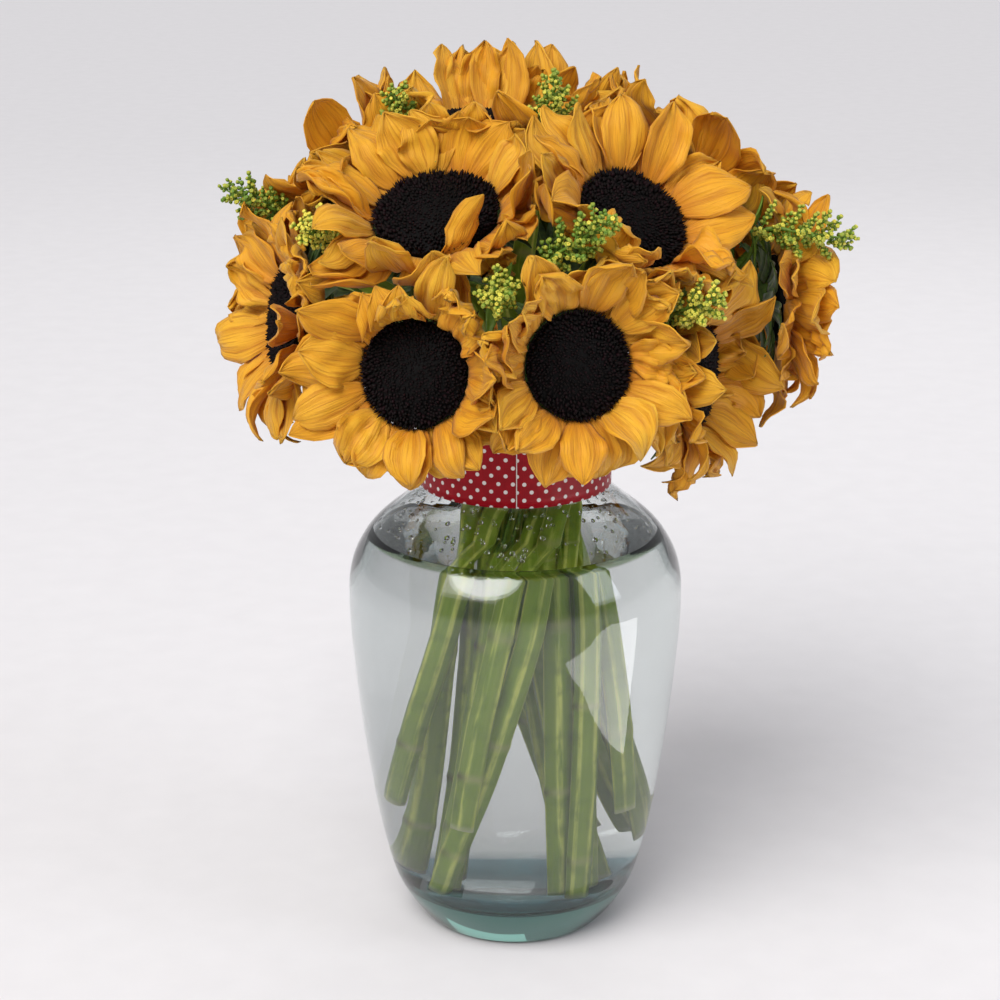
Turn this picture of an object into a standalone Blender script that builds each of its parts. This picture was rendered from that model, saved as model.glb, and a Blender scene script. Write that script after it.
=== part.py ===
"""Cut sunflowers and goldenrod standing in a glass vase of water, with a dotted ribbon round its neck.

The vase is an urn of clear glass with its foot at the origin, +Z up. Sunflowers fan out over its mouth as a
dome. Every flower is three pieces: a ring of ray petals, the dark disc of florets inside it, and the green
stem with the calyx that carries both. Sprays of goldenrod come up in the gaps. All stems pass the neck side
by side and twist round each other in the water, where some stand on the floor and some lean on the wall.
"""

import math
import random

import bmesh
import bpy
import numpy as np
from mathutils import Matrix, Vector

MM = 0.001
GAP = 0.3 * MM  # left between pieces that touch

# The vase
VASE_HEIGHT = 276 * MM
VASE_SIDES = 24
NECK_RADIUS = 47 * MM
WALL = 3 * MM
FLOOR_HEIGHT = 23 * MM
FLOOR_RADIUS = 48 * MM
FLOOR_BEND = 8 * MM  # the flat floor turns up into the wall over this height
LIP_RADIUS = 50.5 * MM
# Where the outside of the body passes, from the foot to the neck: height and radius
BODY_OUTLINE = ((0, 46), (6, 51.5), (20, 60.5), (60, 71.4), (110, 79), (150, 83), (178, 84), (196, 81), (209, 74),
                (218, 63), (225, 53), (232, 47))
NECK_START = 232 * MM
NECK_TOP = 272.5 * MM
WATER_LEVEL = 207 * MM

# The ribbon
RIBBON_BOTTOM = 233.5 * MM
RIBBON_WIDTH = 38 * MM
RIBBON_THICKNESS = 0.7 * MM
RIBBON_LAP = 16 * MM  # its free end, glued down over the start

# The sunflowers: centre of the disc (mm), the way it faces (azimuth and elevation in degrees), disc radius (mm)
SUNFLOWERS = (
    ((-37, -58, 378), (-105, 60), 29.5),
    ((53, -58, 376), (-55, 44), 26.5),
    ((-46, -101, 314), (-108, 12), 25.0),
    ((27, -106, 319), (-72, 13), 24.5),
    ((-109, -30, 322), (-160, 8), 24.5),
    ((84, -52, 300), (-25, 0), 24.0),
    ((128, -3, 327), (5, 2), 22.0),
    ((-15, 12, 411), (90, 84), 26.0),
    ((-78, 22, 382), (160, 40), 24.5),
    ((-104, 58, 328), (155, 8), 24.0),
    ((10, 78, 388), (85, 48), 25.0),
    ((92, 45, 374), (25, 40), 24.0),
    ((85, 75, 312), (41, 5), 24.0),
    ((22, 108, 318), (78, 8), 25.0),
    ((-45, 100, 318), (115, 8), 24.5),
)
DISC_SIDES = 14
DISC_DEPTH = 4 * MM  # below the plane of the petals' roots
DISC_RIM = 3.5 * MM
DISC_DOME = 3.5 * MM  # how much the middle stands over the rim
DISC_RINGS = (0.45, 0.75)  # where its rings of florets lie, as shares of its radius
FLORET_RELIEF = 0.9 * MM
RAY_RING = 3.4 * MM  # radial width of the ring that the petals grow from
RAY_RING_DEPTH = 2.6 * MM
PETALS = 10
PETAL_SEED = 200
SPRAY_SEED = 500
UPPER_ROOT = 0.25  # depth of the two layers' roots in the ring, as shares of its depth
LOWER_ROOT = 0.7
PETAL_LENGTH = 38 * MM
PETAL_WIDTH = 24 * MM
PETAL_THICKNESS = 0.8 * MM
PETAL_STEPS = 20
PETAL_STATIONS = (0, 0.5, 0.84, 1)  # shares of a petal's length: root, broadest part, shoulders, tip
ROOT_SHARE = 0.1  # this much of a petal's length is its root, on which nothing acts
ROOT_PLACE = 0.45  # how far out on the ring a petal's root sits, as a share of the ring's width
# The room that petals leave
NEIGHBOUR = 150 * MM  # flowers further apart never meet
KEEP_CLEAR_TURNS = 3
WALL_ROOM = 1.1 * MM  # to the wall between two flowers; every third petal the same, the others more
WALL_ROOM_STEP = 0.8 * MM
WALL_NEAR = 11 * MM  # from this far a petal starts to turn along the wall
WALL_LIFT = 0.16
PLUME_ROOM = 2.2 * MM
PLUME_NEAR = 8 * MM
DISC_ROOM = 1.2 * MM
CALYX_ROOM = 0.6 * MM
CALYX_REACH = 14 * MM  # past the calyx's lobes a petal may hang back
BACK_SLOPE = 0.7
LIP_ROOM = 56 * MM
# The calyx, partly as shares of the disc's radius
CALYX_LOBES = 6
CALYX_DEPTH = 17 * MM
CALYX_WALL = 4.5 * MM
CALYX_FOOT = 4.5 * MM
CALYX_WAIST = 0.62
CALYX_RIM = 0.72
CALYX_NOTCH = 1.1
LOBE_START = 0.95
LOBE_LENGTH = 6.5 * MM  # past the disc's edge
LOBE_THICKNESS = 1.6 * MM
LOBE_DROOP = 1.6 * MM
STEM_RADIUS = 5.3 * MM
STEM_NODE = 1.12  # the stem's swelling where a leaf was
STEM_SINK = 3 * MM  # how deep its head is in the calyx
STEM_BEND = 0.4  # how far its arch runs on along its ends' directions, as a share of the arch's reach
HOLE_ROOM = 0.45 * MM  # between a stem and the water

# The goldenrod: where each plume starts and ends (mm)
GOLDENROD = (
    ((-103, 2, 362), (-137, -5, 379)),
    ((-82, -35, 366), (-92, -64, 372)),
    ((-49, -12, 399), (-57, -13, 425)),
    ((19, -33, 401), (17, -34, 434)),
    ((12, -92, 361), (39, -106, 383)),
    ((-9, -101, 350), (-8, -128, 354)),
    ((69, -88, 337), (88, -103, 348)),
    ((117, -24, 364), (155, -34, 362)),
    ((56, 88, 352), (64, 118, 366)),
    ((-56, 75, 364), (-66, 102, 380)),
    ((118, 40, 336), (146, 50, 342)),
)
PLUME_RADIUS = 9 * MM
SPRIG_LEAN = math.radians(38)  # how far the side sprigs point along the plume
SPRIG_RADIUS = 1.3 * MM
PLUME_CORE = (2.6 * MM, 3.8 * MM, 1.6 * MM)  # the core's radius at the plume's start, middle and tip
BUD_RADIUS = 2.1 * MM
BUDS = 5
BUD_TURN = 2.4  # radians from one side sprig to the next

# The bundle of stems: rings of places in the neck, and how it twists on its way down
OUTER_RING = 33.5 * MM
INNER_RING = 17 * MM
SPRIG_RING = 25.4 * MM
TOP_FLOWER = math.radians(75)  # a flower that faces up more steeply has its stem in the middle of the neck
SIDE_FLOWER = math.radians(30)  # one that faces up less steeply has it in the outer ring
TWIST = math.radians(-108)
FLARE = 1.5  # over 1, the stems keep together longest in the neck and bend apart lower down
FOOT_PART = 28 * MM  # the two halves of the bundle step this far apart
INNER_FEET = 30 * MM
# Heights of the outer stems' cut ends, in turn: the first stands on the floor, the others lean on the wall
OUTER_ENDS = (FLOOR_HEIGHT, 66 * MM, 42 * MM)
SPRIG_END = 184 * MM
STEM_GAP = 1.6 * MM
WALL_GAP = 1.2 * MM
SETTLE_TURNS = 400
LAST_TURNS = 60  # without straightening
STIFFNESS = 0.35
PUSH = 0.6
# Heights at which the bundle is laid out. The goldenrod's stems pass the last ones of them
LEVELS = np.array((23, 42, 66, 100, 130, 158, 184, 208, 226, 237, 258, 280)) * MM
SPRIG_LEVELS = (6, 8, 9, 11)


def clear_scene():
    for old in list(bpy.data.objects):
        bpy.data.objects.remove(old)


def new_collection(name, hidden=False):
    made = bpy.data.collections.new(name)
    bpy.context.scene.collection.children.link(made)
    made.hide_render = hidden
    return made


def material(name, colour, roughness, metallic=0.0, transmission=0.0):
    made = bpy.data.materials.new(name)
    made.use_nodes = True
    shader = made.node_tree.nodes["Principled BSDF"]
    shader.inputs["Base Color"].default_value = (*colour, 1)
    shader.inputs["Roughness"].default_value = roughness
    shader.inputs["Metallic"].default_value = metallic
    shader.inputs["Transmission Weight"].default_value = transmission
    return made


def mesh_object(name, bm, finish, collection):
    """The bmesh as an object, with its faces pointing out."""
    bmesh.ops.recalc_face_normals(bm, faces=bm.faces)
    if bm.calc_volume(signed=True) < 0:
        bmesh.ops.reverse_faces(bm, faces=bm.faces)
    mesh = bpy.data.meshes.new(name)
    bm.to_mesh(mesh)
    bm.free()
    return placed(name, mesh, finish, collection)


def placed(name, mesh, finish, collection):
    made = bpy.data.objects.new(name, mesh)
    made.data.materials.clear()
    made.data.materials.append(finish)
    collection.objects.link(made)
    return made


def applied(obj):
    """The object with its modifiers applied, under the same name."""
    graph = bpy.context.evaluated_depsgraph_get()
    bpy.context.view_layer.update()
    mesh = bpy.data.meshes.new_from_object(obj.evaluated_get(graph))
    obj.modifiers.clear()
    obj.data = mesh
    return obj


def turned(name, outline, sides, finish, collection):
    """A solid of revolution. The outline of (radius, height) runs from axis to axis, or back to its start."""
    bm = bmesh.new()
    closed = outline[0] == outline[-1]
    verts = [bm.verts.new((r, 0, z)) for r, z in (outline[:-1] if closed else outline)]
    if closed:
        verts.append(verts[0])
    for a, b in zip(verts, verts[1:]):
        bm.edges.new((a, b))
    mesh = bpy.data.meshes.new(name)
    bm.to_mesh(mesh)
    bm.free()
    obj = placed(name, mesh, finish, collection)
    screw = obj.modifiers.new("Turn", "SCREW")
    screw.steps = screw.render_steps = sides
    screw.use_merge_vertices = True
    screw.merge_threshold = 0.00005
    return obj


def vase_outside():
    """Heights and radii of the outer wall, foot to lip, in metres."""
    body = np.array(BODY_OUTLINE) * MM
    lip = [(NECK_TOP, NECK_RADIUS), (VASE_HEIGHT - 2 * MM, LIP_RADIUS), (VASE_HEIGHT, LIP_RADIUS - 1.2 * MM)]
    return np.vstack([body, lip])


def outer_radius(z):
    outside = vase_outside()
    return float(np.interp(z, outside[:, 0], outside[:, 1]))


def inner_radius(z):
    return outer_radius(z) - WALL


def make_vase(finish, collection):
    outside = vase_outside()
    bend = FLOOR_HEIGHT + FLOOR_BEND
    inside = [(z, r - WALL) for z, r in outside if bend + WALL < z < VASE_HEIGHT]
    floor = [(0, FLOOR_HEIGHT), (FLOOR_RADIUS, FLOOR_HEIGHT), (inner_radius(bend), bend)]
    outline = floor + [(r, z) for z, r in inside] + [(NECK_RADIUS, VASE_HEIGHT)]
    outline += [(r, z) for z, r in outside[::-1]] + [(0, 0)]
    return turned("vase_glass", outline, VASE_SIDES, finish, collection)


def make_water(finish, collection):
    outside = vase_outside()
    bend = FLOOR_HEIGHT + FLOOR_BEND
    wall = [(z, r - WALL - GAP) for z, r in outside if bend + WALL < z < WATER_LEVEL - WALL]
    outline = [(0, WATER_LEVEL), (inner_radius(WATER_LEVEL) - GAP, WATER_LEVEL)]
    outline += [(r, z) for z, r in wall[::-1]]
    outline.append((inner_radius(bend) - GAP, bend + GAP))
    outline += [(FLOOR_RADIUS - GAP, FLOOR_HEIGHT + GAP), (0, FLOOR_HEIGHT + GAP)]
    return turned("vase_water", outline, VASE_SIDES, finish, collection)


def make_ribbon(finish, collection):
    """A band round the neck. At the front its free end lies over its start, so there it is twice as thick."""
    inner = NECK_RADIUS + GAP
    outer = inner + RIBBON_THICKNESS
    top = RIBBON_BOTTOM + RIBBON_WIDTH
    outline = [(inner, top), (outer, top), (outer, RIBBON_BOTTOM), (inner, RIBBON_BOTTOM), (inner, top)]
    ribbon = applied(turned("ribbon_band", outline, VASE_SIDES, finish, collection))
    lap = RIBBON_LAP / outer
    for v in ribbon.data.vertices:
        past_front = math.atan2(v.co.y, v.co.x) + math.pi / 2
        if math.hypot(v.co.x, v.co.y) > inner + GAP and -0.01 < past_front < lap:
            v.co.xy *= (outer + RIBBON_THICKNESS) / outer
    return ribbon


class Head:
    """A flower's place: the middle of its disc, the way it faces, and two directions across it."""

    def __init__(self, centre, facing, radius):
        azimuth, elevation = (math.radians(a) for a in facing)
        self.elevation = elevation
        self.centre = np.array(centre) * MM
        self.normal = np.array((math.cos(elevation) * math.cos(azimuth),
                                math.cos(elevation) * math.sin(azimuth), math.sin(elevation)))
        self.across = np.array((-math.sin(azimuth), math.cos(azimuth), 0))
        self.along = np.cross(self.normal, self.across)
        self.radius = radius * MM
        self.azimuth = math.atan2(self.centre[1], self.centre[0])
        self.walls = []

    def radial(self, angle):
        return self.across * math.cos(angle) + self.along * math.sin(angle)

    def point(self, angle, radius, height):
        return self.centre + self.radial(angle) * radius + self.normal * height

    def matrix(self):
        rows = np.column_stack([self.across, self.along, self.normal])
        made = Matrix.Identity(4)
        for i in range(3):
            for j in range(3):
                made[i][j] = rows[i, j]
            made[i][3] = self.centre[i]
        return made


def set_walls(heads):
    """Between each two neighbours stands a wall, half way, that neither flower's petals pass."""
    for head in heads:
        for other in heads:
            step = other.centre - head.centre
            if other is not head and np.linalg.norm(step) < NEIGHBOUR:
                head.walls.append(((head.centre + other.centre) / 2, step / np.linalg.norm(step)))


def nearest_on(a, b, p):
    """The point nearest to p on the line from a to b."""
    t = np.clip((p - a) @ (b - a) / ((b - a) @ (b - a)), 0, 1)
    return a + (b - a) * t


def obstacles_of(head, plumes):
    """Plumes near enough to this flower for its petals to meet them."""
    return [(a, b) for a, b in plumes
            if np.linalg.norm(nearest_on(a, b, head.centre) - head.centre) < NEIGHBOUR / 2 + PLUME_RADIUS]


def kept_clear(p, head, plumes, clearance):
    """The point moved out of the neighbours' space, the plumes, the disc, the calyx and the vase."""
    for _ in range(KEEP_CLEAR_TURNS):
        local = p - head.centre
        height = local @ head.normal
        across = local - height * head.normal
        radius = np.linalg.norm(across)
        lowest = -CALYX_ROOM - max(0.0, radius - head.radius - CALYX_REACH) * BACK_SLOPE
        p = p + head.normal * max(0.0, lowest - height)
        p = p + across / radius * max(0.0, head.radius + DISC_ROOM - radius)
        for a, b in plumes:
            near = nearest_on(a, b, p)
            away = p - near
            distance = np.linalg.norm(away)
            reach = PLUME_RADIUS + PLUME_ROOM
            if distance < reach:
                p = near + away / distance * reach
        around = math.hypot(p[0], p[1])
        if p[2] < VASE_HEIGHT + PLUME_RADIUS and around < LIP_ROOM:
            p = p + np.array((p[0], p[1], 0)) / around * (LIP_ROOM - around)
        for middle, way in head.walls:
            p = p - way * max(0.0, (p - middle) @ way + clearance)
    return p


def petal_midline(head, plumes, draw, length, clearance):
    """Points down the middle of a petal, with its direction and the way its face looks, at PETAL_STEPS + 1 places.

    It starts on the disc's rim, lifts and arches back. Near a wall or a plume it turns along it and outwards."""
    radial = head.radial(draw["angle"])
    sideways = np.cross(head.normal, radial)
    way = math.cos(draw["lift"]) * radial + math.sin(draw["lift"]) * head.normal + draw["yaw"] * sideways
    way /= np.linalg.norm(way)
    face = head.normal - (head.normal @ way) * way
    face /= np.linalg.norm(face)
    p = head.point(draw["angle"], head.radius + ROOT_PLACE * RAY_RING, -RAY_RING_DEPTH * draw["root"])
    step = length / PETAL_STEPS
    out = [(p, way, face)]
    for i in range(PETAL_STEPS):
        way = way - face * draw["curl"] * (0.4 + 1.2 * i / PETAL_STEPS) / PETAL_STEPS
        for middle, across in head.walls:
            room = -(p - middle) @ across - clearance
            near = np.clip(1 - room / WALL_NEAR, 0, 1)
            if near > 0:
                way = way - near * max(0.0, way @ across) * across
                up = head.normal - (head.normal @ across) * across
                way = way + WALL_LIFT * near * up
        for a, b in plumes:
            away = p - nearest_on(a, b, p)
            room = np.linalg.norm(away) - PLUME_RADIUS - PLUME_ROOM
            near = np.clip(1 - room / PLUME_NEAR, 0, 1)
            if near > 0:
                away = away / np.linalg.norm(away)
                way = way - near * min(0.0, way @ away) * away
        way = way / np.linalg.norm(way)
        face = face - (face @ way) * way
        face /= np.linalg.norm(face)
        p = p + way * step
        out.append((p, way, face))
    return out


def petal_draws(rng, count):
    """What differs from petal to petal. Every second petal belongs to the upper layer."""
    draws = []
    for k in range(count):
        upper = k % 2 == 0
        draws.append({
            "angle": 2 * math.pi * (k + 0.5 + rng.uniform(-0.16, 0.16)) / count,
            "root": UPPER_ROOT if upper else LOWER_ROOT,
            "lift": math.radians(rng.uniform(34, 50) if upper else rng.uniform(8, 22)),
            "curl": rng.uniform(0.5, 1.15),
            "yaw": rng.uniform(-0.16, 0.16),
            "length": rng.uniform(0.88, 1.1),
            "width": rng.uniform(0.88, 1.1),
            "cup": rng.uniform(-0.05, 0.32),
        })
    return draws


def petal_half_width(t):
    """Share of a petal's half width at a share of its length: narrow root, broad middle, short point."""
    return np.interp(t, (0, 0.12, 0.35, 0.6, 0.8, 0.93, 1), (0.36, 0.6, 0.93, 1.0, 0.8, 0.45, 0.03))


def petal_surface(head, plumes, draw, clearance, rows, columns):
    """Points of the petal's middle surface, a row for each share of its length and a column across."""
    length = PETAL_LENGTH * draw["length"]
    line = petal_midline(head, plumes, draw, length, clearance)
    grid = []
    for t in rows:
        at = min(int(t * PETAL_STEPS), PETAL_STEPS - 1)
        share = t * PETAL_STEPS - at
        p = line[at][0] * (1 - share) + line[at + 1][0] * share
        way, face = line[at + 1][1], line[at + 1][2]
        side = np.cross(way, face)
        half = PETAL_WIDTH / 2 * draw["width"] * petal_half_width(t)
        row = [p + side * a * half + face * draw["cup"] * half * a * a * min(1, t / ROOT_SHARE) for a in columns]
        if t > ROOT_SHARE:
            row = [kept_clear(q, head, plumes, clearance) for q in row]
        grid.append(row)
    return grid


def make_petal(name, grid, finish, collection):
    """A thin closed blade. The grid's rows are its root, its broadest part with a rib, its shoulders and its tip."""
    bm = bmesh.new()
    root, broad, shoulders, tip = ([bm.verts.new(p) for p in row] for row in
                                   (grid[0][::2], grid[1], grid[2][::2], grid[3][1:2]))
    for corners in ((root[0], broad[1], broad[0]), (root[0], root[1], broad[1]), (root[1], broad[2], broad[1]),
                    (broad[0], broad[1], shoulders[0]), (broad[1], shoulders[1], shoulders[0]),
                    (broad[1], broad[2], shoulders[1]), (shoulders[0], shoulders[1], tip[0])):
        bm.faces.new(corners)
    mesh = bpy.data.meshes.new(name)
    bm.to_mesh(mesh)
    bm.free()
    obj = placed(name, mesh, finish, collection)
    thick = obj.modifiers.new("Thickness", "SOLIDIFY")
    thick.thickness = PETAL_THICKNESS
    thick.offset = 0
    return obj


def united(obj, collection):
    """obj joined with everything in the collection, which is then removed."""
    union = obj.modifiers.new("Join", "BOOLEAN")
    union.operand_type = "COLLECTION"
    union.collection = collection
    union.operation = "UNION"
    union.solver = "MANIFOLD"
    applied(obj)
    for part in list(collection.objects):
        bpy.data.objects.remove(part)
    bpy.data.collections.remove(collection)
    return obj


def make_ray_ring(name, head, finish, collection):
    """The yellow ring that the petals' roots grow together in, round the disc."""
    inner = (head.radius + GAP) / math.cos(math.pi / PETALS)
    outline = [(inner, 0), (inner + RAY_RING, -0.4 * RAY_RING_DEPTH), (inner, -RAY_RING_DEPTH), (inner, 0)]
    ring = turned(name, outline, PETALS, finish, collection)
    applied(ring)
    ring.data.transform(head.matrix())
    return ring


def make_petals(number, head, plumes, finish, collection):
    name = f"sunflower_{number:02d}_petals"
    parts = new_collection(name + "_parts")
    rng = random.Random(PETAL_SEED + number)
    for k, draw in enumerate(petal_draws(rng, PETALS)):
        clearance = WALL_ROOM + WALL_ROOM_STEP * (k % 3)
        grid = petal_surface(head, plumes, draw, clearance, PETAL_STATIONS, (-1, 0, 1))
        make_petal(f"{name}_{k}", grid, finish, parts)
    return united(make_ray_ring(name, head, finish, collection), parts)


def make_disc(number, head, finish, collection):
    """The dome of florets: rings whose points stand up and sink in turn."""
    r = head.radius
    outline = [(0, DISC_RIM + DISC_DOME)]
    outline += [(r * k, DISC_RIM + DISC_DOME * (1 - k * k)) for k in DISC_RINGS]
    outline += [(r, DISC_RIM), (r, -DISC_DEPTH), (0, -DISC_DEPTH)]
    disc = applied(turned(f"sunflower_{number:02d}_disc", outline, DISC_SIDES, finish, collection))
    for v in disc.data.vertices:
        radius = math.hypot(v.co.x, v.co.y)
        if v.co.z > 0 and radius > GAP:
            turn = round(math.atan2(v.co.y, v.co.x) / (2 * math.pi) * DISC_SIDES)
            inner_rings = sum(radius > r * k + GAP for k in DISC_RINGS)
            v.co.z += FLORET_RELIEF * (1 if (turn + inner_rings) % 2 else -1)
    disc.data.transform(head.matrix())
    return disc


def make_calyx(name, head, finish, collection):
    """The green cup behind the flower, whose rim is drawn out into pointed lobes."""
    r = head.radius
    top = -DISC_DEPTH - GAP
    rim = CALYX_RIM * r
    outline = [(0, top), (rim, top), (rim * CALYX_NOTCH, top - LOBE_THICKNESS),
               (CALYX_WAIST * r, top - CALYX_WALL), (CALYX_FOOT, -CALYX_DEPTH), (0, -CALYX_DEPTH)]
    calyx = applied(turned(name, outline, 2 * CALYX_LOBES, finish, collection))
    for v in calyx.data.vertices:
        radius = math.hypot(v.co.x, v.co.y)
        turn = round(math.atan2(v.co.y, v.co.x) / math.pi * CALYX_LOBES)
        if turn % 2 and radius > rim * 0.99:
            under = v.co.z < top
            v.co.xy *= (r + LOBE_LENGTH if under else r * LOBE_START) / radius
            v.co.z -= LOBE_DROOP if under else 0
    calyx.data.transform(head.matrix())
    return calyx


def foot_place(azimuth, radius):
    """Where a stem from this side of the neck ends below: turned by the twist, and left or right of the middle."""
    x = radius * math.cos(azimuth + TWIST)
    y = radius * math.sin(azimuth + TWIST)
    side = 1 if x > 0 else -1
    x = side * (abs(x) * (1 - FOOT_PART / radius) + FOOT_PART)
    return np.array((x, y)) * radius / math.hypot(x, y)


def bundle_targets(heads, plumes):
    """For each stem: its radius, its places in the neck and at its foot, and the foot's height."""
    out = []
    outer = 0
    for head in heads:
        ring, end, reach = INNER_RING, FLOOR_HEIGHT, INNER_FEET
        if head.elevation > TOP_FLOWER:
            ring = 0
        if head.elevation < SIDE_FLOWER:
            ring, end = OUTER_RING, OUTER_ENDS[outer % len(OUTER_ENDS)]
            reach = foot_limit(end) - 1.5 * STEM_RADIUS
            outer += 1
        neck = ring * np.array((math.cos(head.azimuth), math.sin(head.azimuth)))
        out.append((STEM_RADIUS, neck, foot_place(head.azimuth, reach), end))
    for a, b in plumes:
        azimuth = math.atan2(a[1], a[0])
        neck = SPRIG_RING * np.array((math.cos(azimuth), math.sin(azimuth)))
        out.append((SPRIG_RADIUS, neck, foot_place(azimuth, SPRIG_RING), SPRIG_END))
    return out


def foot_limit(z):
    return FLOOR_RADIUS if z <= FLOOR_HEIGHT else inner_radius(z)


def settled_bundle(targets):
    """The stems' centres at each of LEVELS, pushed apart until none touches another or the glass."""
    radii = np.array([t[0] for t in targets])
    places = []
    for _, neck, foot, end in targets:
        down = np.clip((NECK_START - LEVELS) / (NECK_START - end), 0, 1) ** FLARE
        places.append([neck + (foot - neck) * s for s in down])
    places = np.array(places)
    limits = np.array([NECK_RADIUS - WALL if z > NECK_START else foot_limit(z) for z in LEVELS])
    need = radii[:, None] + radii[None, :] + STEM_GAP
    ends = np.array([t[3] for t in targets])
    for turn in range(SETTLE_TURNS):
        if turn < SETTLE_TURNS - LAST_TURNS:
            between = (places[:, :-2] + places[:, 2:]) / 2
            places[:, 1:-1] += STIFFNESS * (between - places[:, 1:-1])
        lean = np.gradient(places, LEVELS, axis=1)
        slant = np.sqrt(1 + (lean**2).sum(-1))
        for k, z in enumerate(LEVELS):
            here = ends <= z
            step = places[:, None, k] - places[None, :, k]
            distance = np.linalg.norm(step, axis=-1) + 1e-9
            wanted = need * np.maximum(slant[:, k][:, None], slant[:, k][None, :])
            short = np.clip(wanted - distance, 0, None) * (here[:, None] & here[None, :])
            np.fill_diagonal(short, 0)
            share = radii[None, :] / (radii[:, None] + radii[None, :])
            places[:, k] += PUSH * (step * (short * share / distance)[..., None]).sum(1)
            around = np.linalg.norm(places[:, k], axis=-1)
            most = np.where(here, limits[k] - radii * slant[:, k] - WALL_GAP, np.inf)
            places[:, k] *= np.minimum(1, most / np.maximum(around, 1e-9))[:, None]
    return places


def bezier(a, b, c, d, count):
    t = np.linspace(0, 1, count + 1)[:, None]
    return (1 - t) ** 3 * a + 3 * (1 - t) ** 2 * t * b + 3 * (1 - t) * t * t * c + t**3 * d


def tube(name, points, radii, sides_level, finish, collection):
    """A stem along the points as a closed mesh. radii are the stem's radius at each point."""
    curve = bpy.data.curves.new(name, "CURVE")
    curve.dimensions = "3D"
    curve.bevel_depth = 1 * MM
    curve.bevel_resolution = sides_level
    curve.use_fill_caps = True
    spline = curve.splines.new("POLY")
    spline.points.add(len(points) - 1)
    for point, p, r in zip(spline.points, points, radii):
        point.co = (*p, 1)
        point.radius = r / MM
    guide = bpy.data.objects.new(name + "_line", curve)
    collection.objects.link(guide)
    bpy.context.view_layer.update()
    graph = bpy.context.evaluated_depsgraph_get()
    mesh = bpy.data.meshes.new_from_object(guide.evaluated_get(graph))
    bpy.data.objects.remove(guide)
    bm = bmesh.new()
    bm.from_mesh(mesh)
    bmesh.ops.remove_doubles(bm, verts=bm.verts, dist=0.01 * MM)
    return mesh_object(name, bm, finish, collection)


def cut_level(obj, height):
    """Cuts the stem's lower end off flat at a height."""
    bm = bmesh.new()
    bm.from_mesh(obj.data)
    geometry = bm.verts[:] + bm.edges[:] + bm.faces[:]
    bmesh.ops.bisect_plane(bm, geom=geometry, dist=0.001 * MM, plane_co=(0, 0, height), plane_no=(0, 0, -1),
                           clear_outer=True)
    bmesh.ops.holes_fill(bm, edges=[e for e in bm.edges if e.is_boundary])
    bmesh.ops.recalc_face_normals(bm, faces=bm.faces)
    bm.to_mesh(obj.data)
    bm.free()
    return obj


def stem_line(places, end, head):
    """A sunflower stem's points: from under its cut end, up the bundle, and in an arch to the head."""
    heights = [*np.linspace(end, NECK_START - STEM_RADIUS, 4), NECK_START + STEM_RADIUS, LEVELS[-1]]
    low = [np.array((np.interp(z, LEVELS, places[:, 0]), np.interp(z, LEVELS, places[:, 1]), z)) for z in heights]
    low.insert(0, low[0] + (low[0] - low[1]) * 0.25)
    back = head.centre - head.normal * (CALYX_DEPTH + STEM_SINK)
    leave = (low[-1] - low[-2]) / np.linalg.norm(low[-1] - low[-2])
    reach = np.linalg.norm(back - low[-1])
    bend = STEM_BEND * reach
    arch = bezier(low[-1], low[-1] + leave * bend, back - head.normal * bend, back, 3)
    return np.vstack([low, arch[1:], back + head.normal * 2 * STEM_SINK])


def make_stem(number, head, places, end, finish, collection, cutters):
    """The stem with the calyx, and the hole it makes in the water."""
    name = f"sunflower_{number:02d}_stem"
    line = stem_line(places, end, head)
    radii = [STEM_RADIUS] * len(line)
    radii[2 + number % 2] = STEM_RADIUS * STEM_NODE
    stem = cut_level(tube(name, line, radii, 1, finish, collection), end + GAP)
    hole = tube(name + "_hole", line[:5], [r + HOLE_ROOM for r in radii[:5]], 1, finish, cutters)
    if end > FLOOR_HEIGHT:
        cut_level(hole, end)
    parts = new_collection(name + "_parts")
    make_calyx(name + "_calyx", head, finish, parts)
    return united(stem, parts), hole


def make_plume(name, a, b, rng, finish, parts):
    """The plume's side sprigs, in a spiral along its core: each is a pointed bunch of buds."""
    way = (b - a) / np.linalg.norm(b - a)
    side = np.cross(way, (0, 0, 1) if abs(way[2]) < 0.9 else (1, 0, 0))
    side /= np.linalg.norm(side)
    other = np.cross(way, side)
    for k in range(BUDS):
        t = (k + 0.4) / BUDS
        angle = BUD_TURN * k + rng.uniform(-0.3, 0.3)
        across = side * math.cos(angle) + other * math.sin(angle)
        out = across * math.cos(SPRIG_LEAN) + way * math.sin(SPRIG_LEAN)
        length = PLUME_RADIUS * math.sin(math.pi * (0.25 + 0.6 * t)) * rng.uniform(0.95, 1.08)
        turn = Vector(out).to_track_quat("Z", "Y").to_matrix().to_4x4()
        bm = bmesh.new()
        bmesh.ops.create_uvsphere(bm, u_segments=4, v_segments=2, radius=BUD_RADIUS)
        for v in bm.verts:
            v.co.z = length * (0.6 + 0.45 * max(v.co.z, 0) / BUD_RADIUS) if v.co.z > -BUD_RADIUS / 2 else 0
        bm.transform(Matrix.Translation(Vector(a + (b - a) * t * 0.92)) @ turn)
        mesh_object(f"{name}_bud_{k}", bm, finish, parts)


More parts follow.
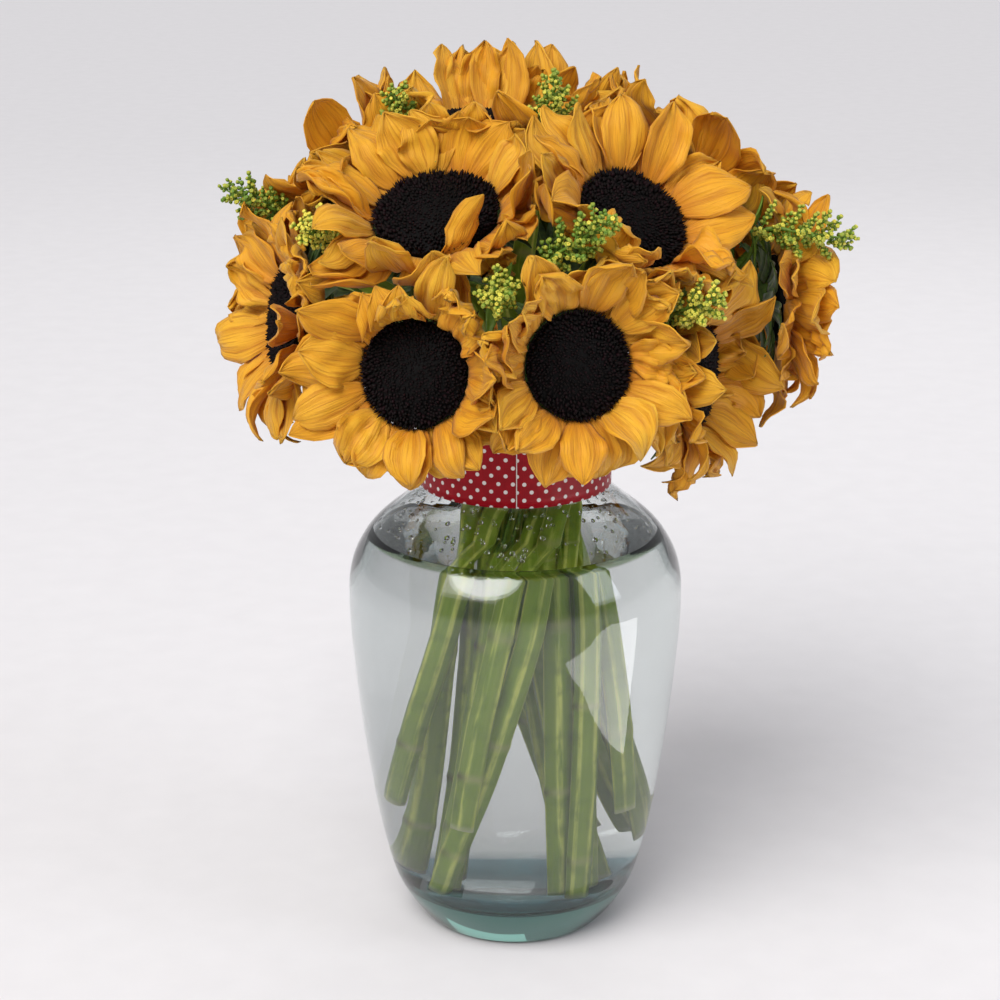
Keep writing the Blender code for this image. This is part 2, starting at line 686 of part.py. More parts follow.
def make_goldenrod(number, a, b, places, finish, collection, cutters):
    name = f"goldenrod_{number:02d}"
    rng = random.Random(SPRAY_SEED + number)
    low = [np.array((*places[k], LEVELS[k])) for k in SPRIG_LEVELS]
    out = (b - a) / np.linalg.norm(b - a)
    leave = (low[-1] - low[-2]) / np.linalg.norm(low[-1] - low[-2])
    reach = np.linalg.norm(a - low[-1])
    arrive = a / np.linalg.norm(a)
    bend = STEM_BEND * reach
    arch = bezier(low[-1], low[-1] + leave * bend, a - arrive * bend, a, 2)
    line = np.vstack([low, arch[1:], (a + b) / 2, b - out * SPRIG_RADIUS])
    radii = [SPRIG_RADIUS] * (len(line) - len(PLUME_CORE)) + list(PLUME_CORE)
    sprig = tube(name, line, radii, 0, finish, collection)
    hole = tube(name + "_hole", line[:4], [SPRIG_RADIUS + HOLE_ROOM] * 4, 0, finish, cutters)
    parts = new_collection(name + "_parts")
    make_plume(name, a, b, rng, finish, parts)
    return united(sprig, parts), hole


def bore_water(water, holes):
    """Cuts every stem's hole out of the water."""
    for hole in holes:
        hole.hide_render = True
        hole.display_type = "WIRE"
    cut = water.modifiers.new("Stem holes", "BOOLEAN")
    cut.operand_type = "COLLECTION"
    cut.collection = holes[0].users_collection[0]
    cut.operation = "DIFFERENCE"
    cut.solver = "MANIFOLD"
    return water


def main():
    clear_scene()
    bouquet = new_collection("Vase of sunflowers")
    cutters = new_collection("Cutters", hidden=True)
    glass = material("Soda-lime glass", (0.80, 0.90, 0.88), 0.02, transmission=1.0)
    water_finish = material("Water", (0.86, 0.92, 0.93), 0.0, transmission=1.0)
    satin = material("Printed satin ribbon", (0.62, 0.01, 0.03), 0.45)
    yellow = material("Ray petal", (0.90, 0.42, 0.02), 0.55)
    dark = material("Disc florets", (0.016, 0.009, 0.007), 0.8)
    green = material("Sunflower stem", (0.20, 0.33, 0.06), 0.6)
    gold = material("Goldenrod", (0.32, 0.46, 0.07), 0.6)

    heads = [Head(*row) for row in SUNFLOWERS]
    set_walls(heads)
    plumes = [(np.array(a) * MM, np.array(b) * MM) for a, b in GOLDENROD]
    targets = bundle_targets(heads, plumes)
    bundle = settled_bundle(targets)

    make_vase(glass, bouquet)
    water = make_water(water_finish, bouquet)
    make_ribbon(satin, bouquet)
    holes = []
    for number, head in enumerate(heads, 1):
        make_petals(number, head, obstacles_of(head, plumes), yellow, bouquet)
        make_disc(number, head, dark, bouquet)
        end = targets[number - 1][3]
        holes.append(make_stem(number, head, bundle[number - 1], end, green, bouquet, cutters)[1])
    for number, (a, b) in enumerate(plumes, 1):
        places = bundle[len(heads) + number - 1]
        holes.append(make_goldenrod(number, a, b, places, gold, bouquet, cutters)[1])
    bore_water(water, holes)


main()
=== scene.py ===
# %% [markdown]
# # Cut sunflowers in a vase of water
#
# A bouquet is a few forms, each repeated many times: a petal, a floret, a bract, a bud, a stem. This lesson
# builds every one of them from a handful of real sizes, and lets a seeded random draw make each a little
# different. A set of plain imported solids, the frame, already says where each flower and stem is. The detailed
# pieces replace those solids and stay where they are.

# %% The frame
import math
import random

import bpy
import numpy as np
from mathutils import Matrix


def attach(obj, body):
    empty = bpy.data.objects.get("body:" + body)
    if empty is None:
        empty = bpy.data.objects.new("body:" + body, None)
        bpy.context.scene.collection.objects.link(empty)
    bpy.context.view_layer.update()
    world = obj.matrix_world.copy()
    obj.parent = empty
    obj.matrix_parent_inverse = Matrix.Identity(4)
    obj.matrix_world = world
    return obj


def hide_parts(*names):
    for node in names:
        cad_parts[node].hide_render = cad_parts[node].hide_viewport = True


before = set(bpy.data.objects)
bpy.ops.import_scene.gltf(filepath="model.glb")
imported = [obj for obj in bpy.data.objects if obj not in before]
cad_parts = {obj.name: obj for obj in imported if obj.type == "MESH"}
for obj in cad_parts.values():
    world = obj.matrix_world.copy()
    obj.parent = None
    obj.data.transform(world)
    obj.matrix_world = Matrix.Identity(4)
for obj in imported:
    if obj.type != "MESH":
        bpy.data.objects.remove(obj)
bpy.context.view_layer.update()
MM = 0.001

# %% [markdown]
# ## The camera
#
# The vase's mouth, its water line and its foot are circles, so in a picture they are ellipses. How flat each one
# is says how far the camera looks down: 17.4 degrees. The lens is a long one, about 86 mm on a 36 mm sensor, from
# 1.2 m away, which keeps the vase's sides nearly parallel. Numbers worked out in this way place the camera better
# than turning it by eye would.

# %% Camera
LOOK_DOWN = 17.43
camera_data = bpy.data.cameras.new("photo_camera")
camera_data.sensor_width = 36
camera_data.lens = 85.68
camera = bpy.data.objects.new("photo_camera", camera_data)
camera.location = (-0.0077, -1.138, 0.58)
camera.rotation_euler = (math.radians(90 - LOOK_DOWN), 0, 0)
bpy.context.scene.collection.objects.link(camera)
bpy.context.scene.camera = camera
bpy.context.scene.view_settings.view_transform = "Standard"
print("camera: looks down", LOOK_DOWN, "degrees")

# %% [markdown]
# ## Colours and finishes
#
# Colours are written as the sRGB codes that a paint or a screen uses, and turned into the linear numbers that
# Blender computes with. Every finish is a small net of nodes. It could be drawn by hand in the shader editor. Here
# one function adds a node with its settings and links, so a finish reads from top to bottom like a recipe.


# %% Helpers for finishes
COLOURS = {"data_type": "RGBA", "output": 2}  # makes a Mix node mix colours: 0 is the share, 6 and 7 the colours
WHITE = "#FFFFFF"


def linear(code):
    """An sRGB colour such as "#F2A81D" as linear red, green, blue and alpha."""
    parts = [int(code[i:i + 2], 16) / 255 for i in (1, 3, 5)]
    return (*[c / 12.92 if c <= 0.04045 else ((c + 0.055) / 1.055) ** 2.4 for c in parts], 1)


def new_finish(name):
    finish = bpy.data.materials.new(name)
    finish.use_nodes = True
    finish.node_tree.nodes.clear()
    return finish


def add(finish, kind, inputs, output=0, **settings):
    """Adds a node and returns one output. inputs gives its sockets a value, or the output that feeds them."""
    node = finish.node_tree.nodes.new("ShaderNode" + kind)
    for name, value in settings.items():
        setattr(node, name, value)
    for socket, value in inputs.items():
        if isinstance(value, bpy.types.NodeSocket):
            finish.node_tree.links.new(value, node.inputs[socket])
        else:
            node.inputs[socket].default_value = value
    return node.outputs[output] if node.outputs else None


print("middle grey #808080 is linear", round(linear("#808080")[0], 3))

# %% [markdown]
# ## Pieces
#
# A piece is a mesh with one finish. It is gathered from many small forms, because one mesh of a thousand buds is
# far lighter than a thousand objects. It may carry marks: a number at each point, such as how far along a petal
# the point is, which the finish reads.


# %% Helpers for pieces
class Shape:
    """Points and faces gathered into one piece, with marks."""

    def __init__(self):
        self.points, self.faces, self.marks, self.count = [], [], {}, 0

    def add(self, points, faces, **marks):
        points = np.asarray(points, float).reshape(-1, 3)
        self.points.append(points)
        rows = faces.tolist() if isinstance(faces, np.ndarray) else faces
        self.faces += [[i + self.count for i in face] for face in rows]
        for name, values in marks.items():
            flat = np.broadcast_to(np.asarray(values, float).reshape(-1), (len(points),))
            self.marks.setdefault(name, []).append(flat)
        self.count += len(points)


def piece(name, shape, finish, slot, *nodes):
    """The shape as an object that rides on the frame and stands for the named nodes."""
    mesh = bpy.data.meshes.new(name)
    mesh.from_pydata(np.vstack(shape.points).tolist(), [], shape.faces)
    for key, values in shape.marks.items():
        layer = mesh.attributes.new(key, "FLOAT", "POINT")
        layer.data.foreach_set("value", np.concatenate(values).astype(np.float32))
    mesh.materials.append(finish)
    mesh.shade_smooth()
    made = bpy.data.objects.new(name, mesh)
    bpy.context.scene.collection.objects.link(made)
    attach(made, "root")
    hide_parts(*nodes)
    return made


def grid_faces(rows, columns, around=False):
    """Four-sided faces between the points of a grid. around=True closes each row on itself."""
    at = np.arange(rows * columns).reshape(rows, columns)
    if around:
        at = np.hstack([at, at[:, :1]])
    return np.stack([at[:-1, :-1], at[:-1, 1:], at[1:, 1:], at[1:, :-1]], -1).reshape(-1, 4)


def unit(v):
    """The same direction with length 1."""
    return v / (np.linalg.norm(v, axis=-1, keepdims=True) + 1e-12)


def two_across(way, guide):
    """Two directions across a way. The guide is any direction that the way doesn't run along."""
    side = unit(np.cross(way, guide))
    return side, np.cross(way, side)


print("a grid of 3 x 4 points has", len(grid_faces(3, 4)), "faces")

# %% [markdown]
# ## The vase's outline
#
# The vase is round: a shoulder, a straight neck, a rolled lip and a thick base. It could be modelled from a
# cylinder, loop by loop. A lathe suits it better, because its outline is a few measured radii joined by a smooth
# curve, and each can be set against the photograph on its own.

# %% Outline of the vase
WALL = 3 * MM
VASE_HEIGHTS = 110
VASE_OUTLINE = np.array((
    (0, 46), (2, 48), (6, 51.5), (12, 55.8), (20, 60.5), (40, 67), (60, 71.3), (80, 74.6), (100, 77.6), (120, 80),
    (140, 82), (160, 83.6), (175, 84), (186, 83.4), (196, 80.8), (203, 77.2), (209, 73), (215, 67), (221, 59.5),
    (227, 52), (231, 48.3), (235, 47), (250, 47), (268, 47.2), (274, 50), (276, 50.5))) * MM  # height and radius
VASE_HEIGHT = VASE_OUTLINE[-1, 0]
BASE_TOP = ((0, 21), (48, 21), (54.5, 24.3), (58, 29))  # radius and height of the thick base's top, in mm
PUNT = ((0, 4.2), (16, 4.0), (27, 3.1), (34, 1.6), (38, 0.3), (40, 0), (44.5, 0), (46.3, 0.5))  # the hollow below
INSIDE_FROM = 33 * MM
INSIDE_TO = VASE_HEIGHT - 0.5 * MM


def smooth_through(x, y, at):
    """A smooth curve through given points, read at other places."""
    slope = np.gradient(y, x)
    i = np.clip(np.searchsorted(x, at) - 1, 0, len(x) - 2)
    h = x[i + 1] - x[i]
    t = (at - x[i]) / h
    return ((2 * t**3 - 3 * t**2 + 1) * y[i] + (t**3 - 2 * t**2 + t) * h * slope[i]
            + (3 * t**2 - 2 * t**3) * y[i + 1] + (t**3 - t**2) * h * slope[i + 1])


def vase_radius(z):
    return smooth_through(VASE_OUTLINE[:, 0], VASE_OUTLINE[:, 1], z)


heights = np.linspace(0, VASE_HEIGHT, VASE_HEIGHTS)
outside = [(r, z) for z, r in zip(heights, vase_radius(heights))]
inside = [(r - WALL, z) for r, z in outside if INSIDE_FROM < z < INSIDE_TO]
print("vase:", round(VASE_HEIGHT / MM), "mm tall,", round(2 * max(r for r, z in outside) / MM), "mm wide")

# %% [markdown]
# ## The lathe
#
# A lathe turns an outline into rings and joins each ring to the next. The same two steps make a vase, a drop of
# water, the dome under the florets, a bud and a stem, so they are written once. Blender's Screw modifier could
# turn the vase, but not thousands of buds into one mesh.

# %% Turned forms
VASE_SIDES = 120


def closed_rings(rings, first, last):
    """Points and faces of rings, each joined to the next, and both ends closed by a fan round a middle point."""
    rows, sides = rings.shape[:2]
    faces = grid_faces(rows, sides, around=True).tolist()
    for row, tip, order in ((0, rows * sides, 1), (rows - 1, rows * sides + 1, -1)):
        edge = row * sides + np.arange(sides)
        faces += np.stack([np.full(sides, tip), np.roll(edge, -1), edge], -1)[:, ::order].tolist()
    return np.vstack([rings.reshape(-1, 3), first, last]), faces


def lathe(outline, sides):
    """Turns an outline of (radius, height) that starts and ends on the axis. Returns points and faces."""
    turn = np.linspace(0, 2 * math.pi, sides, endpoint=False)
    radius, height = np.array(outline)[:, :, None].transpose(1, 0, 2)
    rings = np.stack(np.broadcast_arrays(radius * np.cos(turn), radius * np.sin(turn), height), -1)
    return closed_rings(rings[1:-1], rings[0, 0], rings[-1, 0])


def copies(outline, sides, feet, ways, sizes):
    """A turned form at each foot, with its axis along its way. Returns the points and faces of them all."""
    form_points, form_faces = lathe(outline, sides)
    axes = np.stack([*two_across(ways, (0.31, 0.52, 0.79)), ways], 1) * np.reshape(sizes, (-1, 1, 1))
    points = feet[:, None] + np.einsum("pk,nkj->npj", form_points, axes)
    return points, [[i + len(form_points) * k for i in face] for k in range(len(feet)) for face in form_faces]


print("one ring of the vase:", VASE_SIDES, "points")

# %% [markdown]
# ## The glass
#
# The vase is soda-lime glass, blown into a mould. Its outline runs up the outside, over the lip and down the
# inside, so the wall has a real thickness, and light bends in it twice. Thick glass looks green because it holds a
# little iron. A tinted surface would be as dark where the glass is thin, so that tint is an absorption in the
# glass itself: the base goes dark teal and the thin wall stays nearly clear. Seen through the water, the base's
# top is bluer than that, so its surface has a tint of its own.

# %% Glass
SWELLS = 22  # per metre: the mould leaves the wall uneven, with a swell every 45 mm
SMEARS = 60  # per metre: a smear of dried water every 17 mm
BASE_TINT_RADII = (57 * MM, 53 * MM)  # the tint of the base's top fades in from the first to the second
BASE_TINT_HEIGHT = (23 * MM, 6 * MM)  # its height, and how far up and down from there it reaches


def from_axis(finish):
    """A place in metres, how far it is from the vase's axis, and how high it is."""
    place = add(finish, "TexCoord", {}, "Object")
    flat = add(finish, "VectorMath", {0: place, 1: (1, 1, 0)}, operation="MULTIPLY")
    radius = add(finish, "VectorMath", {0: flat}, "Value", operation="LENGTH")
    return place, radius, add(finish, "SeparateXYZ", {0: place}, "Z")


glass = new_finish("Soda-lime glass, mould-blown")
place, radius, height = from_axis(glass)
swell = add(glass, "TexNoise", {"Vector": place, "Scale": SWELLS, "Detail": 1})
wavy = add(glass, "Bump", {"Height": swell, "Strength": 0.06, "Distance": 2 * MM})
smear = add(glass, "TexNoise", {"Vector": place, "Scale": SMEARS, "Detail": 4})
smeared = add(glass, "MapRange", {"Value": smear, "From Min": 0.5, "From Max": 0.8, "To Max": 0.03})
within = add(glass, "MapRange", {"Value": radius, "From Min": BASE_TINT_RADII[0], "From Max": BASE_TINT_RADII[1]})
at_height = add(glass, "Math", {0: height, 1: BASE_TINT_HEIGHT[0], 2: BASE_TINT_HEIGHT[1]}, operation="COMPARE")
on_base = add(glass, "Math", {0: within, 1: at_height}, operation="MULTIPLY")
base_tint = add(glass, "Mix", {0: on_base, 6: linear(WHITE), 7: linear("#4C7480")}, **COLOURS)
glass_body = add(glass, "BsdfPrincipled", {
    "Base Color": base_tint, "Transmission Weight": 1, "IOR": 1.5, "Roughness": smeared, "Normal": wavy})
iron = add(glass, "VolumeAbsorption", {"Color": linear("#C2DFDA"), "Density": 38})
add(glass, "OutputMaterial", {"Surface": glass_body, "Volume": iron})
print("glass:", len(glass.node_tree.nodes), "nodes")

# %% Vase
vase_shape = Shape()
punt = [(r * MM, z * MM) for r, z in PUNT]
base_top = [(r * MM, z * MM) for r, z in BASE_TOP]
vase_shape.add(*lathe([*punt, *outside[1:], *inside[::-1], *base_top[::-1]], VASE_SIDES))
vase = piece("vase", vase_shape, glass, "vase_glass", "vase_glass")
print("vase:", vase_shape.count, "points")

# %% [markdown]
# ## The water
#
# The water fills the vase to just over the shoulder. A flat disc could stand for its surface, but light also bends
# all the way down its side, so it is a turned solid. That side reaches a little into the glass: a film of air
# between the two would shine like a mirror. At the rim the water climbs the glass by two millimetres. That lip,
# the meniscus, and a thin band of painted shade in dark grey-green on it draw the dark line round the water. Cut
# stems cloud their water, so it holds a little grey absorption as well.

# %% Water
WATER_LEVEL = 207 * MM
INTO_GLASS = 0.2 * MM
CLIMB = 2 * MM
MENISCUS = ((2.6, 0), (1.2, 0.35), (0.4, 1.0))  # in from the wall and up, in mm
LINE_RADIUS = 69 * MM
LINE_BELOW = (1.6 * MM, 0.6 * MM)  # the line's painted shade starts this far below the level, and is full at the second
RIPPLES = 30  # per metre: one every 33 mm

water_finish = new_finish("Water, clear and still")
place, radius, height = from_axis(water_finish)
ripple = add(water_finish, "TexNoise", {"Vector": place, "Scale": RIPPLES})
rippled = add(water_finish, "Bump", {"Height": ripple, "Strength": 0.04, "Distance": 2 * MM})
# painted shade: a dark grey-green band at the meniscus stands in for the dark line that the bent light draws there
near_level = add(water_finish, "MapRange", {
    "Value": height, "From Min": WATER_LEVEL - LINE_BELOW[0], "From Max": WATER_LEVEL - LINE_BELOW[1]})
at_rim = add(water_finish, "MapRange", {"Value": radius, "From Min": LINE_RADIUS, "From Max": LINE_RADIUS + MM})
on_line = add(water_finish, "Math", {0: near_level, 1: at_rim}, operation="MULTIPLY")
line_painted_shade = add(water_finish, "Mix", {0: on_line, 6: linear(WHITE), 7: linear("#8FA57C")}, **COLOURS)
water_body = add(water_finish, "BsdfPrincipled", {
    "Base Color": line_painted_shade, "Transmission Weight": 1, "IOR": 1.333, "Roughness": 0, "Normal": rippled})
cloud = add(water_finish, "VolumeAbsorption", {"Color": linear("#89908E"), "Density": 2.8})
add(water_finish, "OutputMaterial", {"Surface": water_body, "Volume": cloud})

wall_top = vase_radius(WATER_LEVEL + CLIMB) - WALL
water_side = [(r + INTO_GLASS, z) for r, z in inside if z < WATER_LEVEL]
surface = [(wall_top + INTO_GLASS, WATER_LEVEL + CLIMB)]
surface += [(wall_top - x * MM, WATER_LEVEL + z * MM) for x, z in MENISCUS[::-1]]
water_floor = [(r, z - INTO_GLASS) for r, z in base_top]
water_shape = Shape()
water_shape.add(*lathe([*water_floor, *water_side, *surface, (0, WATER_LEVEL)], VASE_SIDES))
piece("water", water_shape, water_finish, "water", "vase_water")
print("water: level at", round(WATER_LEVEL / MM), "mm")

# %% [markdown]
# ## The drops
#
# Above the water the inside of the shoulder is wet: drops from 0.7 to 3 mm across cling to it. They could be
# painted on as small bumps, but only a real dome of water bends the light as a drop does. Each is a turned form,
# a little wider than its foot, set on the glass and pointing away from it. They are water, so they have the
# water's finish.

# %% Drops on the shoulder
DROP_OUTLINE = ((0, -0.3), (0.8, -0.3), (1, 0), (0.9, 0.3), (0.6, 0.52), (0.3, 0.62), (0, 0.65))  # in radii
DROPS = 300
DROP_SIDES = 6
DROP_SEED = 71
DROP_HEIGHTS = (210, 230)  # in mm
DROP_SPREAD = (0.5, 1.35)  # to the power of 1.5, the radius in mm: many small ones, a few large

rng = np.random.default_rng(DROP_SEED)
drop_height = rng.uniform(*DROP_HEIGHTS, DROPS) * MM
drop_turn = rng.uniform(0, 2 * math.pi, DROPS)
drop_place = vase_radius(drop_height) - WALL
steepness = (vase_radius(drop_height + MM) - vase_radius(drop_height - MM)) / (2 * MM)
outwards = np.stack([np.cos(drop_turn), np.sin(drop_turn), np.zeros(DROPS)], 1)
feet = outwards * drop_place[:, None] + np.outer(drop_height, (0, 0, 1))
into_air = unit(-outwards + np.outer(steepness, (0, 0, 1)))
drop_shape = Shape()
drop_shape.add(*copies(DROP_OUTLINE, DROP_SIDES, feet, into_air, rng.uniform(*DROP_SPREAD, DROPS) ** 1.5 * MM))
piece("water_drops", drop_shape, water_finish, "water", "vase_water")
print("drops:", DROPS)

# %% [markdown]
# ## The ribbon's cloth
#
# The ribbon is polyester satin, 38 mm wide, woven with fine ribs across and printed red with small white dots. The
# print could be an image. Here the strip carries marks in real millimetres, along and across, and the finish
# repeats two rows of dots on them, so they stay round and sharp at any size. Satin's long threads give a soft
# gloss that the ribs break up. The cut end shows the white of the threads.

# %% Ribbon cloth
RIBBON_WIDTH = 38 * MM
RIBBON_LAP = 16 * MM
RIBBON_RADIUS = 47.65 * MM
STRIP_LENGTH = 2 * math.pi * RIBBON_RADIUS + RIBBON_LAP
DOT_PITCH = (7.0, 8.0)  # along and across, in mm; the second row is shifted by half of both
DOT_RADIUS = 1.0
DOT_BLUR = 0.12
RIB_PITCH = 0.9  # real ribs are 0.3 mm apart, too fine to show
RAW_EDGE = 0.45
BLOTCHES = 0.25  # per mm: the dye is a little darker or lighter every 4 mm

satin = new_finish("Polyester satin, woven and printed")
along, across = (add(satin, "Attribute", {}, "Fac", attribute_name=key) for key in ("along_mm", "across_mm"))
print_at = add(satin, "CombineXYZ", {"X": along, "Y": across})
from_dot = []
for shift in (0.0, 0.5):
    cells = add(satin, "VectorMath", {0: print_at, 1: (*DOT_PITCH, 1)}, operation="DIVIDE")
    moved = add(satin, "VectorMath", {0: cells, 1: (shift, shift, 0)}, operation="ADD")
    in_cell = add(satin, "VectorMath", {0: moved}, operation="FRACTION")
    centred = add(satin, "VectorMath", {0: in_cell, 1: (0.5, 0.5, 0)}, operation="SUBTRACT")
    in_mm = add(satin, "VectorMath", {0: centred, 1: (*DOT_PITCH, 0)}, operation="MULTIPLY")
    from_dot.append(add(satin, "VectorMath", {0: in_mm}, "Value", operation="LENGTH"))
nearest = add(satin, "Math", {0: from_dot[0], 1: from_dot[1]}, operation="MINIMUM")
ink = add(satin, "MapRange", {"Value": nearest, "From Min": DOT_RADIUS + DOT_BLUR,
                              "From Max": DOT_RADIUS - DOT_BLUR}, interpolation_type="SMOOTHSTEP")
turns = add(satin, "Math", {0: along, 1: 2 * math.pi / RIB_PITCH}, operation="MULTIPLY")
ribs = add(satin, "Math", {0: turns}, operation="SINE")
uneven = add(satin, "TexNoise", {"Vector": print_at, "Scale": BLOTCHES, "Detail": 3})
red = add(satin, "Mix", {0: uneven, 6: linear("#8A0413"), 7: linear("#B40A1E")}, **COLOURS)
raw_edge = add(satin, "Math", {0: along, 1: STRIP_LENGTH / MM - RAW_EDGE}, operation="GREATER_THAN")
white = add(satin, "Math", {0: ink, 1: raw_edge}, operation="MAXIMUM")
cloth_colour = add(satin, "Mix", {0: white, 6: red, 7: linear("#F4EDEA")}, **COLOURS)
rib_bump = add(satin, "Bump", {"Height": ribs, "Strength": 0.25, "Distance": 0.05 * MM})
satin_body = add(satin, "BsdfPrincipled", {
    "Base Color": cloth_colour, "Roughness": 0.45, "Specular IOR Level": 0.16, "Sheen Weight": 0.02,
    "Sheen Roughness": 0.4, "Normal": rib_bump})
add(satin, "OutputMaterial", {"Surface": satin_body})
print("satin: dots every", DOT_PITCH[0], "mm along and", DOT_PITCH[1], "mm across")

# %% [markdown]
# ## The ribbon
#
# It is stretched round the neck, and its free end is glued down over its start, a little left of the front. A
# simulated cloth would end in the same place, since nothing hangs. So the mesh is one long strip that goes round
# once and rises over itself. Two sides and a rim make it a closed blade, as thin as the cloth. Petals, bracts and
# leaves are blades too.

# %% Ribbon
RIBBON_BOTTOM = 233.5 * MM
RIBBON_CLOTH = 0.45 * MM
RIBBON_RISE = 0.6 * MM
RISE_LENGTH = 8 * MM
RIBBON_STEPS = 200
RIBBON_ROWS = 9


def blade(grid, thickness):
    """A thin closed leaf: a grid of points thickened to both sides and joined round its rim."""
    rows, columns = grid.shape[:2]
    normal = unit(np.cross(np.gradient(grid, axis=1), np.gradient(grid, axis=0)))
    points = np.concatenate([(grid + normal * thickness / 2).reshape(-1, 3),
                             (grid - normal * thickness / 2).reshape(-1, 3)])
    top = grid_faces(rows, columns)
    at = np.arange(rows * columns).reshape(rows, columns)
    rim = np.concatenate([at[0], at[1:, -1], at[-1, -2::-1], at[-2:0:-1, 0]])
    under = rows * columns
    edge = np.stack([rim, rim + under, np.roll(rim, -1) + under, np.roll(rim, -1)], -1)
    return points, np.concatenate([top, top[:, ::-1] + under, edge])


along = np.linspace(0, STRIP_LENGTH, RIBBON_STEPS)
rise = np.clip((along - STRIP_LENGTH + RIBBON_LAP + RISE_LENGTH) / RISE_LENGTH, 0, 1)
radius = RIBBON_RADIUS + RIBBON_RISE * rise * rise * (3 - 2 * rise)
angle = -math.pi / 2 + (RIBBON_LAP - along) / RIBBON_RADIUS
across = np.linspace(0, RIBBON_WIDTH, RIBBON_ROWS)
strip = np.stack(np.broadcast_arrays((radius * np.cos(angle))[None], (radius * np.sin(angle))[None],
                                     RIBBON_BOTTOM + across[:, None]), -1)
ribbon_shape = Shape()
ribbon_shape.add(*blade(strip, RIBBON_CLOTH), along_mm=np.tile(along / MM, 2 * RIBBON_ROWS),
                 across_mm=np.tile(np.repeat(across / MM, RIBBON_STEPS), 2))
ribbon = piece("ribbon", ribbon_shape, satin, "ribbon", "ribbon_band")
print("ribbon:", round(STRIP_LENGTH / MM), "mm long")

# %% [markdown]
# ## Where the flowers are
#
# Each flower has a head: the middle of its disc, the way it faces, and the disc's radius. The numbers are the
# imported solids' own, so every bloom grows where its solid is. The first twelve show in the photograph, the others
# round off the back. Between two neighbours stands an unseen wall half way, and petals that meet it turn along it,
# as crowded petals do. Placing each bloom by hand would lose that.

# %% Flower heads
# centre (mm), azimuth and elevation of the way it faces (degrees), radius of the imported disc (mm)
SUNFLOWERS = (
    ((-37, -58, 378), (-105, 60), 29.5), ((53, -58, 376), (-55, 44), 26.5), ((-46, -101, 314), (-108, 12), 25.0),
    ((27, -106, 319), (-72, 13), 24.5), ((-109, -30, 322), (-160, 8), 24.5), ((84, -52, 300), (-25, 0), 24.0),
    ((128, -3, 327), (5, 2), 22.0), ((-15, 12, 411), (90, 84), 26.0), ((-78, 22, 382), (160, 40), 24.5),
    ((-104, 58, 328), (155, 8), 24.0), ((10, 78, 388), (85, 48), 25.0), ((92, 45, 374), (25, 40), 24.0),
    ((85, 75, 312), (41, 5), 24.0), ((22, 108, 318), (78, 8), 25.0), ((-45, 100, 318), (115, 8), 24.5))
# the start and the end of each spray of goldenrod (mm)
GOLDENROD = (
    ((-103, 2, 362), (-137, -5, 379)), ((-82, -35, 366), (-92, -64, 372)), ((-49, -12, 399), (-57, -13, 425)),
    ((19, -33, 401), (17, -34, 434)), ((12, -92, 361), (39, -106, 383)), ((-9, -101, 350), (-8, -128, 354)),
    ((69, -88, 337), (88, -103, 348)), ((117, -24, 364), (155, -34, 362)), ((56, 88, 352), (64, 118, 366)),
    ((-56, 75, 364), (-66, 102, 380)), ((118, 40, 336), (146, 50, 342)))
SPRAY_ROOM = np.array((8, 14, 9, 11, 13, 12, 13, 10, 8, 8, 8)) * MM  # how far petals part for each spray
NEIGHBOUR = 150 * MM
SPRAY_NEIGHBOUR = 95 * MM
DISC_SHARE = 0.95  # the petals' roots cover the outermost part of a packed disc


class Head:
    """A flower's middle, the way it faces, and two directions across it."""

    def __init__(self, centre, facing, radius):
        azimuth, elevation = (math.radians(a) for a in facing)
        self.centre = np.array(centre) * MM
        self.normal = np.array((math.cos(elevation) * math.cos(azimuth),
                                math.cos(elevation) * math.sin(azimuth), math.sin(elevation)))
        self.across = np.array((-math.sin(azimuth), math.cos(azimuth), 0))
        self.along = np.cross(self.normal, self.across)
        self.radius = radius * DISC_SHARE * MM
        self.walls = []

    def radial(self, angle):
        """The direction from the middle of the disc at an angle round it."""
        return np.multiply.outer(np.cos(angle), self.across) + np.multiply.outer(np.sin(angle), self.along)


heads = [Head(*row) for row in SUNFLOWERS]
sprays = [tuple(np.array(end) * MM for end in row) for row in GOLDENROD]
for head in heads:
    for other in heads:
        step = other.centre - head.centre
        if other is not head and np.linalg.norm(step) < NEIGHBOUR:
            head.walls.append(((head.centre + other.centre) / 2, unit(step)))
    head.sprays = [(a, b, room) for (a, b), room in zip(sprays, SPRAY_ROOM)
                   if np.linalg.norm((a + b) / 2 - head.centre) < SPRAY_NEIGHBOUR]
print("heads:", len(heads), "flowers,", sum(len(h.walls) for h in heads) // 2, "walls between neighbours")

# %% [markdown]
# ## The room a petal keeps
#
# Petals are soft, so in a tight bouquet they give way: to the disc in front of them, the calyx behind, a spray of
# goldenrod, the vase's lip and the next bloom. A cloth simulation of five hundred petals would take too long.
# Here each of those is a simple form, and a point that has got into one is moved out of it.

# %% Keeping clear
CLEARING_ROUNDS = 3
DISC_ROOM = 0.8 * MM
DISC_TOP = 9 * MM  # a petal this far over the disc may fold over it
CALYX_ROOM = 0.6 * MM
CALYX_REACH = 12 * MM
BACK_SLOPE = 0.8
LIP_ROOM = 56 * MM
LIP_ABOVE = 9 * MM
DOME_MIDDLE = np.array((0, 0, 300)) * MM


def aside_of(a, b, p):
    """How far points are from a spray's line. What stands before it, seen from outside, counts as beside it."""
    t = np.clip((p - a) @ (b - a) / ((b - a) @ (b - a)), 0, 1)
    near = a + np.multiply.outer(t, b - a)
    outward = unit(near - DOME_MIDDLE)
    away = p - near
    before = np.maximum(0, (away * outward).sum(-1, keepdims=True))
    away = away - outward * before
    distance = np.linalg.norm(away, axis=-1, keepdims=True) + 1e-9
    return away / distance, distance


